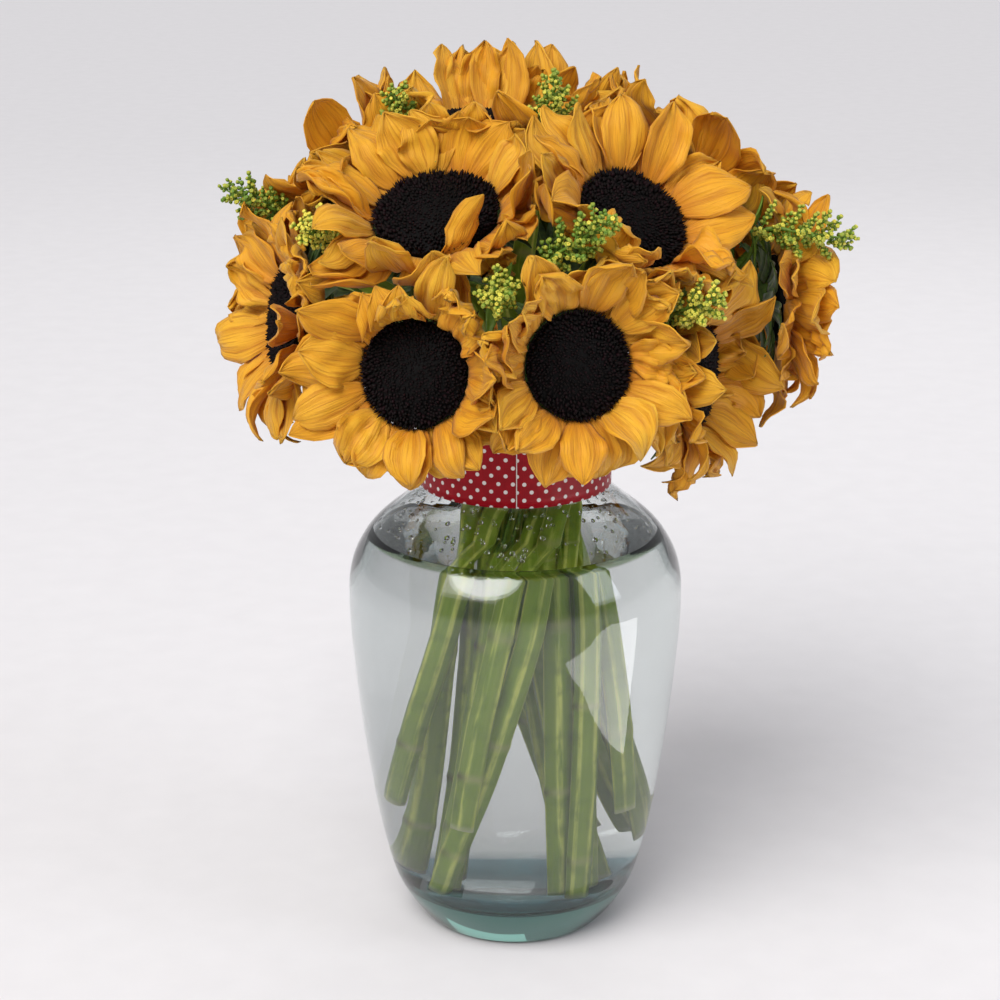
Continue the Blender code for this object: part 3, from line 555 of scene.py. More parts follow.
def kept_clear(p, head, clearance):
    """Points moved out of the disc, the calyx, the sprays, the vase and the neighbours' space."""
    for _ in range(CLEARING_ROUNDS):
        local = p - head.centre
        height = local @ head.normal
        out = local - np.multiply.outer(height, head.normal)
        radius = np.linalg.norm(out, axis=1) + 1e-9
        lowest = -CALYX_ROOM - np.maximum(0, radius - head.radius - CALYX_REACH) * BACK_SLOPE
        p = p + np.multiply.outer(np.maximum(0, lowest - height), head.normal)
        push = np.maximum(0, head.radius + DISC_ROOM - radius) * np.clip(2 - 2 * height / DISC_TOP, 0, 1)
        p = p + out / radius[:, None] * push[:, None]
        for a, b, room in head.sprays:
            away, distance = aside_of(a, b, p)
            p = p + away * np.maximum(0, room - distance)
        around = np.hypot(p[:, 0], p[:, 1])
        low = (p[:, 2] < VASE_HEIGHT + LIP_ABOVE) & (around < LIP_ROOM)
        p[:, :2] *= np.where(low, LIP_ROOM / around, 1)[:, None]
        for middle, way in head.walls:
            p = p - np.multiply.outer(np.maximum(0, (p - middle) @ way + clearance), way)
    return p


print("room: petals stay", round(LIP_ROOM / MM), "mm from the vase's axis at its lip")

# %% [markdown]
# ## One petal's middle line
#
# A sunflower's petals grow in layers round the disc: the upper ones stand up, the lower ones lie flatter and fill
# the gaps between them. A petal could be one flat shape, bent afterwards. But how it bends depends on what it
# meets, so a walk of small steps draws its middle line: it lifts off, arches back, turns along its neighbours'
# walls and passes round the sprays of goldenrod.

# %% Middle line of a petal
RAY_RING = 3.4 * MM
RAY_RING_DEPTH = 2.6 * MM
ROOT_PLACE = 0.45
PETAL_STEPS = 20
ROOT_CURL = 0.4  # a petal bends less at its root than at its tip
CURL_GROWTH = 1.2
SPRAY_NEAR = 8 * MM
WALL_NEAR = 11 * MM
WALL_LIFT = 0.16


def petal_line(head, draw, length):
    """Points along a petal's middle, its direction and the way its face looks there."""
    radial = head.radial(draw["angle"])
    sideways = np.cross(head.normal, radial)
    way = unit(math.cos(draw["lift"]) * radial + math.sin(draw["lift"]) * head.normal + draw["yaw"] * sideways)
    face = unit(head.normal * math.cos(draw["lift"]) - radial * math.sin(draw["lift"]))
    p = head.centre + radial * (head.radius + ROOT_PLACE * RAY_RING) - head.normal * RAY_RING_DEPTH * draw["root"]
    line = [(p, way, face)]
    for i in range(PETAL_STEPS):
        way = way - face * draw["curl"] * (ROOT_CURL + CURL_GROWTH * i / PETAL_STEPS) / PETAL_STEPS
        for middle, across in head.walls:
            near = np.clip(1 + ((p - middle) @ across + draw["clearance"]) / WALL_NEAR, 0, 1)
            up = head.normal - (head.normal @ across) * across
            way = way - near * max(0.0, way @ across) * across + WALL_LIFT * near * up
        for a, b, room in head.sprays:
            away, distance = aside_of(a, b, p)
            near = np.clip(1 - (distance[0] - room) / SPRAY_NEAR, 0, 1)
            way = way - near * min(0.0, way @ away) * away
        way = unit(way)
        face = unit(face - (face @ way) * way)
        p = p + way * length / PETAL_STEPS
        line.append((p, way, face))
    return (np.array(part) for part in zip(*line))


print("petal: a walk of", PETAL_STEPS, "steps")

# %% [markdown]
# ## One petal's blade
#
# A petal is broad in the middle, with a short point, folded lengthwise by a few pleats and frilled at its edges.
# Each of those is a wave or a curve of where a point is along and across the petal, added to the middle line.
# Sculpting would give the same forms, but every petal would have to be sculpted anew. Where the finished blade is
# pressed by its neighbours, it crumples.

# %% Blade of a petal
PETAL_LENGTH = 38 * MM
PETAL_WIDTH = 24 * MM
PETAL_THICKNESS = 0.5 * MM
PETAL_ROWS = np.array((0, 0.05, 0.11, 0.18, 0.26, 0.34, 0.42, 0.5, 0.58, 0.66, 0.74, 0.81, 0.87, 0.92, 0.965, 1))
PETAL_COLUMNS = np.linspace(-1, 1, 13)
HALF_WIDTHS = ((0, 0.12, 0.35, 0.58, 0.8, 0.93, 1), (0.36, 0.62, 0.95, 1.0, 0.74, 0.33, 0.03))
ROOT_SHARE = 0.1
TIP_FROM = 0.68
PLEAT = 0.8 * MM
PLEATS = 2.5  # half waves from the middle to an edge
CRUMPLE = 4.0 * MM
CRUMPLE_AT = 8 * MM  # a point pushed this far crumples in full


def pleats(t, a, draw):
    """The lengthwise folds: from -1 in a valley to 1 on a ridge, fading out at the root and the tip."""
    return np.cos(math.pi * (PLEATS * a + draw["shift"])) * np.sin(math.pi * t**0.8)


def petal_grid(head, draw):
    """The petal's middle surface: a row of points for each share of its length, a column across."""
    line, ways, faces = petal_line(head, draw, PETAL_LENGTH * draw["length"])
    steps = np.arange(PETAL_STEPS + 1) / PETAL_STEPS
    middle, way, face = (np.column_stack([np.interp(PETAL_ROWS, steps, values[:, k]) for k in range(3)])
                         for values in (line, ways, faces))
    side = np.cross(way, face)
    turn = (draw["twist"] * PETAL_ROWS)[:, None]
    side, face = side * np.cos(turn) + face * np.sin(turn), face * np.cos(turn) - side * np.sin(turn)
    t, a = PETAL_ROWS[:, None], PETAL_COLUMNS[None]
    half = PETAL_WIDTH / 2 * draw["width"] * np.interp(t, *HALF_WIDTHS)
    middle = middle + side * draw["bend"] * t**2 - face * draw["tip"] * np.maximum(0, t - TIP_FROM) ** 1.5
    cup = draw["cup"] * half * a * a * np.minimum(1, t / ROOT_SHARE)
    pleat = PLEAT * draw["pleat"] * pleats(t, a, draw)
    wave = np.sin(2 * math.pi * (draw["waves"] * t + draw["phase"] + 0.5 * np.sign(a)))
    frill = draw["frill"] * half * np.abs(a) ** 3 * wave * np.sqrt(t)
    # two slanting waves that cross leave dents of no regular pattern
    dents = np.sin(2 * math.pi * (2.3 * t + 0.9 * a + draw["phase"])) + np.sin(
        2 * math.pi * (1.1 * t - 1.6 * a + draw["shift"]))
    off = cup + pleat + frill + draw["dent"] * dents * np.sqrt(t)
    grid = middle[:, None] + side[:, None] * (a * half)[..., None] + face[:, None] * off[..., None]
    past_root = PETAL_ROWS > ROOT_SHARE
    free = grid[past_root]
    kept = kept_clear(free.reshape(-1, 3), head, draw["clearance"]).reshape(free.shape)
    pushed = np.linalg.norm(kept - free, axis=-1, keepdims=True)
    pressed = np.clip(pushed / CRUMPLE_AT, 0, 1) * (0.5 + 0.25 * dents[past_root][..., None])
    grid[past_root] = kept + unit(kept - free) * CRUMPLE * pressed
    return grid


print("petal:", len(PETAL_ROWS), "rows of", len(PETAL_COLUMNS), "points")

# %% [markdown]
# ## The petals' finish
#
# A ray petal is a soft, slightly see-through skin, orange-gold at its root and lighter towards its tip, with many
# fine veins that run its whole length. It has a dull wax on it, so it only glows at a grazing angle. Light from
# behind passes through it. A picture of a petal would look the same on all of them. The veins are a noise that is
# stretched along the petal, from the marks along and across, so they follow every bend, and each petal's own
# number gives it its own pattern.

# %% Petal finish
VEIN_PATTERN = (11.0, 1.3, 40.0)  # across, a vein every millimetre; along, as long as the petal; then petal to petal
BLOTCH = 55  # per metre: a paler patch every 18 mm

petal_skin = new_finish("Ray petal, fresh")
along, across, own, ridge = (add(petal_skin, "Attribute", {}, "Fac", attribute_name=key)
                             for key in ("along", "across", "own", "ridge"))
marks = add(petal_skin, "CombineXYZ", {"X": across, "Y": along, "Z": own})
vein_place = add(petal_skin, "VectorMath", {0: marks, 1: VEIN_PATTERN}, operation="MULTIPLY")
vein_noise = add(petal_skin, "TexNoise", {"Vector": vein_place, "Scale": 1.0, "Detail": 4, "Roughness": 0.62})
veins = add(petal_skin, "MapRange", {"Value": vein_noise, "From Min": 0.48, "From Max": 0.62})
petal_place = add(petal_skin, "TexCoord", {}, "Object")
blotch = add(petal_skin, "TexNoise", {"Vector": petal_place, "Scale": BLOTCH, "Detail": 2})
root_to_tip = add(petal_skin, "MapRange", {"Value": along, "From Min": 0.0, "From Max": 0.45},
                  interpolation_type="SMOOTHSTEP")
gold = add(petal_skin, "Mix", {0: root_to_tip, 6: linear("#DD850C"), 7: linear("#F0AB1C")}, **COLOURS)
pale_share = add(petal_skin, "Math", {0: own, 1: blotch}, operation="MULTIPLY")
paler = add(petal_skin, "Mix", {0: pale_share, 6: gold, 7: linear("#F8C93C")}, **COLOURS)
# painted shade: the valleys of the pleats are painted a darker orange, as the shade that falls in them
valley = add(petal_skin, "MapRange", {"Value": ridge, "From Min": -0.1, "From Max": -1.0, "To Max": 0.55})
pleat_valley_shade_painted = add(petal_skin, "Mix", {0: valley, 6: paler, 7: linear("#D08410")}, **COLOURS)
vein_share = add(petal_skin, "Math", {0: veins, 1: 0.55}, operation="MULTIPLY")
veined = add(petal_skin, "Mix", {0: vein_share, 6: pleat_valley_shade_painted, 7: linear("#BE7008")}, **COLOURS)
vein_bump = add(petal_skin, "Bump", {"Height": vein_noise, "Strength": 1.0, "Distance": 0.9 * MM})
skin = add(petal_skin, "BsdfPrincipled", {
    "Base Color": veined, "Roughness": 0.52, "Specular IOR Level": 0.35, "Sheen Weight": 0.12,
    "Sheen Roughness": 0.5, "Normal": vein_bump})
through = add(petal_skin, "BsdfTranslucent", {"Color": veined, "Normal": vein_bump})
petal_surface = add(petal_skin, "MixShader", {0: 0.22, 1: skin, 2: through})
add(petal_skin, "OutputMaterial", {"Surface": petal_surface})
print("petal finish:", len(petal_skin.node_tree.nodes), "nodes")

# %% [markdown]
# ## How some petals lie
#
# Most petals may lie as the draw has it. A few catch the eye in the photograph, such as the one that folds over
# the disc of the first flower, and the eye would miss them. Those are named by their flower and by their direction
# in the picture, and get their own lift, length or curl.

# %% Posed petals
# flower, direction in the picture, how far to each side of it (degrees), and what changes
POSED = (
    (8, 90, 75, {"lift": 66, "length": 1.08, "curl": 0.35}), (8, 270, 100, {"lift": 2, "length": 0.7}),
    (1, 95, 52, {"lift": 50, "length": 0.92, "width": 1.2, "curl": 0.5}), (1, 78, 30, {"length": 0.8}),
    (1, 272, 6, {"lift": 112, "length": 0.95, "curl": 0.1, "width": 0.5, "yaw": 0.85, "cup": 0.8, "tip": 0,
                 "bend": 0, "dent": 0, "clearance": 0}),
    (1, 180, 6, {"lift": 24, "length": 1.15, "width": 0.55, "cup": 1.0}),
    (1, 240, 22, {"lift": -4, "curl": 1.5, "length": 1.12}), (3, 118, 14, {"lift": 52, "length": 1.1}),
    (3, 80, 12, {"lift": 60, "length": 1.05}), (4, 150, 30, {"lift": 50, "length": 0.9}),
    (2, 236, 9, {"lift": 112, "length": 0.6, "curl": 0.5}), (3, 100, 22, {"lift": 92, "length": 0.75}),
    (9, 130, 60, {"lift": 60, "length": 1.2, "curl": 0.3}), (12, 60, 50, {"lift": 48, "length": 1.12}),
    (8, 0, 22, {"length": 1.3, "lift": 10}), (12, 180, 50, {"length": 1.3, "lift": 8}),
    (11, 0, 30, {"length": 1.25, "lift": 10}), (3, 280, 60, {"length": 0.78}), (4, 250, 60, {"length": 0.8}),
    (6, 265, 50, {"length": 0.82}))
VIEW_UP = np.array((0, math.sin(math.radians(LOOK_DOWN)), math.cos(math.radians(LOOK_DOWN))))


def posed(number, head, draw):
    """The draw with the changes for its place in the picture."""
    radial = head.radial(draw["angle"])
    clock = math.degrees(math.atan2(radial @ VIEW_UP, radial[0]))
    for flower, direction, spread, changes in POSED:
        if flower == number and abs((clock - direction + 180) % 360 - 180) < spread:
            draw.update({key: math.radians(value) if key == "lift" else value for key, value in changes.items()})
    return draw


print("posed:", len(POSED), "groups of petals")

# %% [markdown]
# ## The ray petals
#
# Thirty-three petals in three layers stand round each disc. Blender's instances could repeat one petal, but then
# all would be alike and none could give way. So each is its own blade, from its own draw of eighteen numbers, and
# one petal in four is a shorter, more crumpled one. The draws are seeded, so the bouquet is the same each time.

# %% Petals
PETALS = 33
PETAL_SEED = 200
CRUMPLED = 0.25
LAYER_LIFTS = ((38, 58), (20, 36), (0, 16))  # degrees, from the upper layer to the lower one
LAYER_ROOTS = (0.15, 0.45, 0.8)


def petal_draws(rng):
    """What differs from petal to petal. The upper layer stands up, the lower one lies flat."""
    draws = []
    for k in range(PETALS):
        layer = k % len(LAYER_LIFTS)
        draws.append({
            "angle": 2 * math.pi * (k + 0.5 + rng.uniform(-0.3, 0.3)) / PETALS, "root": LAYER_ROOTS[layer],
            "lift": math.radians(rng.uniform(*LAYER_LIFTS[layer])), "curl": rng.uniform(0.4, 1.25),
            "yaw": rng.uniform(-0.2, 0.2), "length": rng.uniform(0.82, 1.08), "width": rng.uniform(0.74, 1.16),
            "cup": rng.uniform(-0.3, 0.5), "twist": rng.uniform(-0.45, 0.45), "pleat": rng.uniform(0.5, 1.3),
            "shift": rng.uniform(0, 1), "frill": rng.uniform(0.05, 0.34), "waves": rng.uniform(1.2, 2.8),
            "phase": rng.uniform(0, 1), "bend": rng.uniform(-7, 7) * MM, "tip": rng.uniform(-30, 55) * MM,
            "dent": rng.uniform(0.1, 0.7) * MM, "clearance": rng.uniform(-7, 3) * MM, "own": rng.uniform(0, 1)})
        if rng.uniform(0, 1) < CRUMPLED:
            draws[-1].update(length=rng.uniform(0.6, 0.85), dent=rng.uniform(1.2, 2.2) * MM, frill=0.45)
    return draws


t, a = np.meshgrid(PETAL_ROWS, PETAL_COLUMNS, indexing="ij")
along, across = (np.tile(values.ravel(), 2) for values in (t, a))
for number, head in enumerate(heads, 1):
    flower = Shape()
    for draw in petal_draws(random.Random(PETAL_SEED + number)):
        grid = petal_grid(head, posed(number, head, draw))
        # the ridge mark is the pleats' height, from which the finish paints shade in their valleys
        flower.add(*blade(grid, PETAL_THICKNESS), along=along, across=across,
                   ridge=np.tile(pleats(t, a, draw).ravel(), 2), own=draw["own"])
    node = f"sunflower_{number:02d}_petals"
    piece(node + "_fine", flower, petal_skin, "ray_petals", node)
print("petals:", PETALS * len(heads), "blades")

# %% [markdown]
# ## The florets' finish
#
# The dark disc is hundreds of small florets, dry and velvety. They send back almost no light, only a dull glint
# here and there, so the finish is rough and nearly black. Each floret's own number turns it a little more maroon,
# which keeps the disc from being one black hole.

# %% Floret finish
SPECKLES = 900  # per metre: the dry skin is rougher or smoother every millimetre

floret_skin = new_finish("Disc florets, dark and dry")
own, tip = (add(floret_skin, "Attribute", {}, "Fac", attribute_name=key) for key in ("own", "tip"))
floret_place = add(floret_skin, "TexCoord", {}, "Object")
speckle = add(floret_skin, "TexNoise", {"Vector": floret_place, "Scale": SPECKLES, "Detail": 2})
maroon = add(floret_skin, "Mix", {0: own, 6: linear("#050404"), 7: linear("#1C080E")}, **COLOURS)
tipped = add(floret_skin, "Mix", {0: tip, 6: maroon, 7: linear("#120B0A")}, **COLOURS)
floret_rough = add(floret_skin, "MapRange", {"Value": speckle, "To Min": 0.45, "To Max": 0.9})
floret_body = add(floret_skin, "BsdfPrincipled", {
    "Base Color": tipped, "Roughness": floret_rough, "Specular IOR Level": 0.12})
add(floret_skin, "OutputMaterial", {"Surface": floret_body})
print("floret finish:", len(floret_skin.node_tree.nodes), "nodes")

# %% [markdown]
# ## One floret
#
# A floret that is not yet open is a small pointed bud. A few of its points are enough at this size: three at the
# foot, three at the waist and one at the tip. A bump in the finish would be cheaper, but the disc is seen from the
# side as well, where only real points give it its rough edge.


# %% Spikes
FOOT_WIDTH = 0.62
WAIST_AT = 0.55
WAIST_SWELL = 0.1
TRIANGLE = ((1, 0), (-0.5, 0.87), (-0.5, -0.87))
SPIKE_POINTS = 7


def add_spikes(shape, head, angle, radius, height, lean, width, length, own):
    """Three-sided points on a flower at polar places, leaning outwards by lean."""
    radial = head.radial(angle)
    base = head.centre + radial * radius[:, None] + np.multiply.outer(height, head.normal)
    out = unit(head.normal * np.cos(lean)[:, None] + radial * np.sin(lean)[:, None])
    side = np.cross(head.normal, radial)
    other = np.cross(out, side)
    feet = [base + (side * x + other * y) * width[:, None] * FOOT_WIDTH for x, y in TRIANGLE]
    waist = [f + out * (length * WAIST_AT)[:, None] + (f - base) * WAIST_SWELL for f in feet]
    points = np.stack([*feet, *waist, base + out * length[:, None]], 1)
    nth = SPIKE_POINTS * np.arange(len(base))[:, None, None]
    four = np.array([(0, 1, 4, 3), (1, 2, 5, 4), (2, 0, 3, 5)])[None] + nth
    three = np.array([(3, 4, 6), (4, 5, 6), (5, 3, 6), (2, 1, 0)])[None] + nth
    shape.add(points, four.reshape(-1, 4).tolist() + three.reshape(-1, 3).tolist(),
              own=np.repeat(own, SPIKE_POINTS), tip=np.tile((0,) * (SPIKE_POINTS - 1) + (1,), len(angle)))


def add_turned(shape, head, outline, sides, **marks):
    """A turned solid on a flower's axis. Its outline of (radius, height) starts and ends on the axis."""
    points, faces = lathe(outline, sides)
    shape.add(head.centre + points @ np.stack([head.across, head.along, head.normal]), faces, **marks)


print("floret:", SPIKE_POINTS, "points")

# %% [markdown]
# ## The discs
#
# A sunflower packs its florets by one rule: each grows a golden angle further round than the last, and a little
# further out. That rule alone draws the crossing spirals, so no pattern has to be laid out by hand. The florets
# are short in the middle and longer outwards, and at the rim they stand out as a fringe of dark teeth over the
# petals' roots. A smooth dome under them closes the gaps.

# %% Discs
DISC_DEPTH = 4 * MM
DISC_RIM = 2.4 * MM
DISC_DOME = 3.2 * MM
DOME_RINGS = (0.92, 0.75, 0.5, 0.25)
DOME_BELOW = 0.9 * MM
DOME_SIDES = 40
FLORETS = 760
FRINGE = 210
DISC_SEED = 300
GOLDEN_ANGLE = math.pi * (3 - math.sqrt(5))


def dome_height(share):
    """How high the disc is at a share of its radius."""
    return DISC_RIM + DISC_DOME * (1 - share * share)


for number, head in enumerate(heads, 1):
    rng = np.random.default_rng(DISC_SEED + number)
    disc = Shape()
    r = head.radius
    add_turned(disc, head, [(0, -DISC_DEPTH), (r, -DISC_DEPTH), (r, DISC_RIM - 1.5 * MM),
                            *[(r * k, dome_height(k) - DOME_BELOW) for k in DOME_RINGS],
                            (0, dome_height(0) - DOME_BELOW)], DOME_SIDES, own=0, tip=0)
    n = np.arange(FLORETS)
    share = np.sqrt((n + 0.5) / FLORETS)
    angle = n * GOLDEN_ANGLE + rng.normal(0, 0.35 * MM, FLORETS) / (share * r)
    lean = 0.15 + 0.5 * share + rng.normal(0, 0.28, FLORETS)
    width = (0.9 + 0.65 * share) * MM
    length = (1.3 + 1.9 * share**2) * MM * rng.uniform(0.55, 1.4, FLORETS)
    radius = share * r * 0.96 + rng.normal(0, 0.3 * MM, FLORETS)
    add_spikes(disc, head, angle, radius, dome_height(share) - 1.2 * MM, lean, width, length,
               rng.uniform(0, 1, FLORETS) ** 2)
    angle = 2 * math.pi * (np.arange(FRINGE) + rng.uniform(-0.4, 0.4, FRINGE)) / FRINGE
    lean = rng.uniform(0.55, 1.25, FRINGE)
    add_spikes(disc, head, angle, np.full(FRINGE, r * 0.97), rng.uniform(0.2, 1.4, FRINGE) * MM, lean,
               rng.uniform(0.5, 0.9, FRINGE) * MM, rng.uniform(2.0, 4.4, FRINGE) * MM, rng.uniform(0.2, 1, FRINGE))
    node = f"sunflower_{number:02d}_disc"
    piece(node + "_florets", disc, floret_skin, "disc_florets", node)
print("discs:", (FLORETS + FRINGE) * len(heads), "florets")

# %% [markdown]
# ## The stems' lines
#
# The stems pass the neck side by side and twist round each other in the water. Drawing those curves again would
# mean measuring them twice. The frame knows where they are, so each packed stem is cut at a few heights, and the
# middle of each cut is a point of its line. From there a free curve leads to the flower.

# %% Stem lines from the frame
CUT_ABOVE = 0.5 * MM
FIRST_CUT = 12 * MM
BELOW_NECK = 226 * MM
CUTS_IN_WATER = 8
CUTS_IN_NECK = (237 * MM, 258 * MM, 280 * MM)


def cut_middle(corners, z, near, reach):
    """The middle of a node's cut at height z, from the crossing points that are near enough to the last one."""
    crossing = []
    for i, j in ((0, 1), (1, 2), (2, 0)):
        a, b = corners[:, i], corners[:, j]
        passes = (a[:, 2] < z) != (b[:, 2] < z)
        share = (z - a[passes, 2]) / (b[passes, 2] - a[passes, 2])
        crossing.append(a[passes] + (b - a)[passes] * share[:, None])
    crossing = np.concatenate(crossing)
    if near is not None:
        crossing = crossing[np.linalg.norm(crossing[:, :2] - near[:2], axis=1) < reach]
    middle = (crossing.min(0) + crossing.max(0)) / 2
    return np.array((middle[0], middle[1], z))


def packed_line(node, reach):
    """A packed stem's middle line, from its cut end up to the top of the neck."""
    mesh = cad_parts[node].data
    mesh.calc_loop_triangles()
    places = np.array([v.co for v in mesh.vertices])
    corners = places[np.array([t.vertices for t in mesh.loop_triangles])]
    lowest = places[:, 2].min()
    line = []
    for z in (lowest + CUT_ABOVE, *np.linspace(lowest + FIRST_CUT, BELOW_NECK, CUTS_IN_WATER), *CUTS_IN_NECK):
        line.append(cut_middle(corners, z, line[-1] if line else None, reach))
    line[0][2] = lowest
    return np.array(line)


def arch(line, end, end_way, count):
    """Adds a curve from the line's last point to an end that it reaches against end_way."""
    leave = unit(line[-1] - line[-2])
    bend = 0.4 * np.linalg.norm(end - line[-1])
    a, b, c, d = line[-1], line[-1] + leave * bend, end + end_way * bend, end
    t = np.linspace(0, 1, count + 1)[1:, None]
    curve = (1 - t) ** 3 * a + 3 * (1 - t) ** 2 * t * b + 3 * (1 - t) * t * t * c + t**3 * d
    return np.vstack([line, curve])


def resampled(line, step):
    """The same line with a point every step, smoothed between its points, and how far along each is."""
    length = np.concatenate([[0], np.cumsum(np.linalg.norm(np.diff(line, axis=0), axis=1))])
    at = np.linspace(0, length[-1], max(2, round(length[-1] / step)) + 1)
    return np.column_stack([smooth_through(length, line[:, k], at) for k in range(3)]), at


print("stem line:", 1 + CUTS_IN_WATER + len(CUTS_IN_NECK), "cuts through a packed stem")

# %% [markdown]
# ## Tubes
#
# A stem is a tube along its line. A bevelled curve would draw one as well, but with no ridges and no marks. So
# rings are set across the line, each turned as little as possible from the one before, or the tube would look
# wrung.


# %% Tubes
def tube(line, radius, sides, wave=1.0):
    """Points and faces of a closed tube. radius has one number for each point, wave one for each side."""
    way = unit(np.gradient(line, axis=0))
    side = two_across(way[0], (0.0, 1.0, 0.2))[0]
    sideways = []
    for w in way:
        side = unit(side - (side @ w) * w)
        sideways.append(side)
    sideways = np.array(sideways)
    turn = np.linspace(0, 2 * math.pi, sides, endpoint=False)
    rings = (sideways[:, None] * np.cos(turn)[:, None] + np.cross(way, sideways)[:, None] * np.sin(turn)[:, None])
    reach = (radius[:, None] * wave)[..., None]
    return closed_rings(line[:, None] + rings * reach, line[0], line[-1])


def each_ring(values, sides):
    """A mark with one value for each ring, given to all its points and to the middles of the two ends."""
    return np.append(np.repeat(values, sides), values[[0, -1]])


def round_each(values, rings):
    """A mark that goes round a tube in the same way on each ring. It is 0 at the middles of the two ends."""
    return np.append(np.tile(values, rings), (0, 0))


print("tube: 2 rings of 8 sides make", len(tube(np.array(((0, 0, 0), (0, 0, 1.0))), np.ones(2), 8)[1]), "faces")

# %% [markdown]
# ## The stems' finish
#
# Fresh stem is a waxy, ribbed skin in yellow-green. The wax gives it a soft, broken gloss. Fibres streak it along
# its length, and the light streaks are kept mostly to the ridges as a painted highlight, while the grooves stay deep
# green as painted shade. It is darker in patches where it is older. The ring of a leaf scar is paler with a brown
# side, and the cut end is pale. The streaks are a noise over the marks round the stem and along it. A flat
# unwrapped pattern would have a seam, and this has none.

# %% Stem finish
STREAK_PATTERN = (1.25, 1.25, 0.022)  # round the stem, a streak every 4 mm; along it, every 45 mm
MOTTLES = 110  # per metre: a dark patch every 9 mm
LEAST_LIGHT = 0.12

stem_skin = new_finish("Sunflower stem, fresh and waxy")
round_x, round_y, along, ridge, scar, cut = (
    add(stem_skin, "Attribute", {}, "Fac", attribute_name=key)
    for key in ("round_x", "round_y", "length_mm", "ridge", "scar", "cut"))
marks = add(stem_skin, "CombineXYZ", {"X": round_x, "Y": round_y, "Z": along})
streak_place = add(stem_skin, "VectorMath", {0: marks, 1: STREAK_PATTERN}, operation="MULTIPLY")
streaks = add(stem_skin, "TexNoise", {"Vector": streak_place, "Scale": 1.0, "Detail": 5, "Roughness": 0.65})
stem_place = add(stem_skin, "TexCoord", {}, "Object")
mottle = add(stem_skin, "TexNoise", {"Vector": stem_place, "Scale": MOTTLES, "Detail": 4})
streak_share = add(stem_skin, "MapRange", {"Value": streaks, "From Min": 0.36, "From Max": 0.58})
# painted highlight and shade: the light fibre streaks are kept mostly to the ridges, and the grooves stay deep green
ridge_painted_highlight = add(stem_skin, "MapRange", {"Value": ridge, "From Min": 0.1, "From Max": 0.95, "To Min": 0.1},
               interpolation_type="SMOOTHSTEP")
fibre_and_ridge_light = add(stem_skin, "Math", {0: streak_share, 1: ridge_painted_highlight, 2: LEAST_LIGHT}, operation="MULTIPLY_ADD")
stem_green = add(stem_skin, "Mix", {0: fibre_and_ridge_light, 6: linear("#7CA01A"), 7: linear("#ECF27C")}, **COLOURS)
dark_share = add(stem_skin, "MapRange", {"Value": mottle, "From Min": 0.5, "From Max": 0.75, "To Max": 0.5})
mottled = add(stem_skin, "Mix", {0: dark_share, 6: stem_green, 7: linear("#5B7A1E")}, **COLOURS)
leaf_side = add(stem_skin, "MapRange", {"Value": round_x, "From Min": 0.3, "From Max": 0.9})
scar_colour = add(stem_skin, "Mix", {0: leaf_side, 6: linear("#C5C37E"), 7: linear("#5E4420")}, **COLOURS)
ringed = add(stem_skin, "Mix", {0: scar, 6: mottled, 7: scar_colour}, **COLOURS)
stem_colour = add(stem_skin, "Mix", {0: cut, 6: ringed, 7: linear("#D9DDA8")}, **COLOURS)
stem_bump = add(stem_skin, "Bump", {"Height": streaks, "Strength": 0.6, "Distance": 0.8 * MM})
stem_body = add(stem_skin, "BsdfPrincipled", {
    "Base Color": stem_colour, "Roughness": 0.42, "Specular IOR Level": 0.18, "Normal": stem_bump})
add(stem_skin, "OutputMaterial", {"Surface": stem_body})
print("stem finish:", len(stem_skin.node_tree.nodes), "nodes")

# %% [markdown]
# ## The bracts' finish
#
# Bracts are small green leaves with fine hairs on them. The hairs scatter the light, so a bract is dull, and paler
# at a grazing angle. A light rib runs along its middle.

# %% Bract finish
LEAF_MOTTLES = 260  # per metre: a lighter spot every 4 mm

leaf_skin = new_finish("Green bract, hairy")
leaf_place = add(leaf_skin, "TexCoord", {}, "Object")
leaf_noise = add(leaf_skin, "TexNoise", {"Vector": leaf_place, "Scale": LEAF_MOTTLES, "Detail": 4})
leaf_share = add(leaf_skin, "MapRange", {"Value": leaf_noise, "From Min": 0.35, "From Max": 0.7})
leaf_green = add(leaf_skin, "Mix", {0: leaf_share, 6: linear("#2C4416"), 7: linear("#54722A")}, **COLOURS)
side = add(leaf_skin, "Attribute", {}, "Fac", attribute_name="side")
from_rib = add(leaf_skin, "Math", {0: side}, operation="ABSOLUTE")
rib_share = add(leaf_skin, "MapRange", {"Value": from_rib, "From Min": 0.16, "From Max": 0.02, "To Max": 0.5})
leaf_colour = add(leaf_skin, "Mix", {0: rib_share, 6: leaf_green, 7: linear("#8A9F52")}, **COLOURS)
leaf_bump = add(leaf_skin, "Bump", {"Height": leaf_noise, "Strength": 0.6, "Distance": 0.3 * MM})
leaf_body = add(leaf_skin, "BsdfPrincipled", {
    "Base Color": leaf_colour, "Roughness": 0.6, "Specular IOR Level": 0.35, "Sheen Weight": 0.2,
    "Normal": leaf_bump})
add(leaf_skin, "OutputMaterial", {"Surface": leaf_body})
print("bract finish:", len(leaf_skin.node_tree.nodes), "nodes")

# %% [markdown]
# ## The calyx
#
# Behind each flower is a green cup with pointed bracts round it. Most of it is hidden, but at the side and from
# behind it is what one sees of a sunflower, so a plain cone would not do. It stands for the stem's solid, because
# the two have grown together. A bract is the same kind of blade as a petal, only narrow, green and bent back at
# its tip.

# %% Calyx and bracts
CALYX_DEPTH = 17 * MM
CALYX_SIDES = 28
BRACTS = 26
BRACT_ROWS = np.linspace(0, 1, 9)
BRACT_COLUMNS = np.linspace(-1, 1, 5)
BRACT_THICKNESS = 0.6 * MM
BRACT_WIDTHS = ((0, 0.3, 0.55, 0.85, 1), (0.8, 1, 0.8, 0.28, 0.04))
BRACT_ROOT = 0.66  # in disc radii
WALL_ROOM = 1.0 * MM


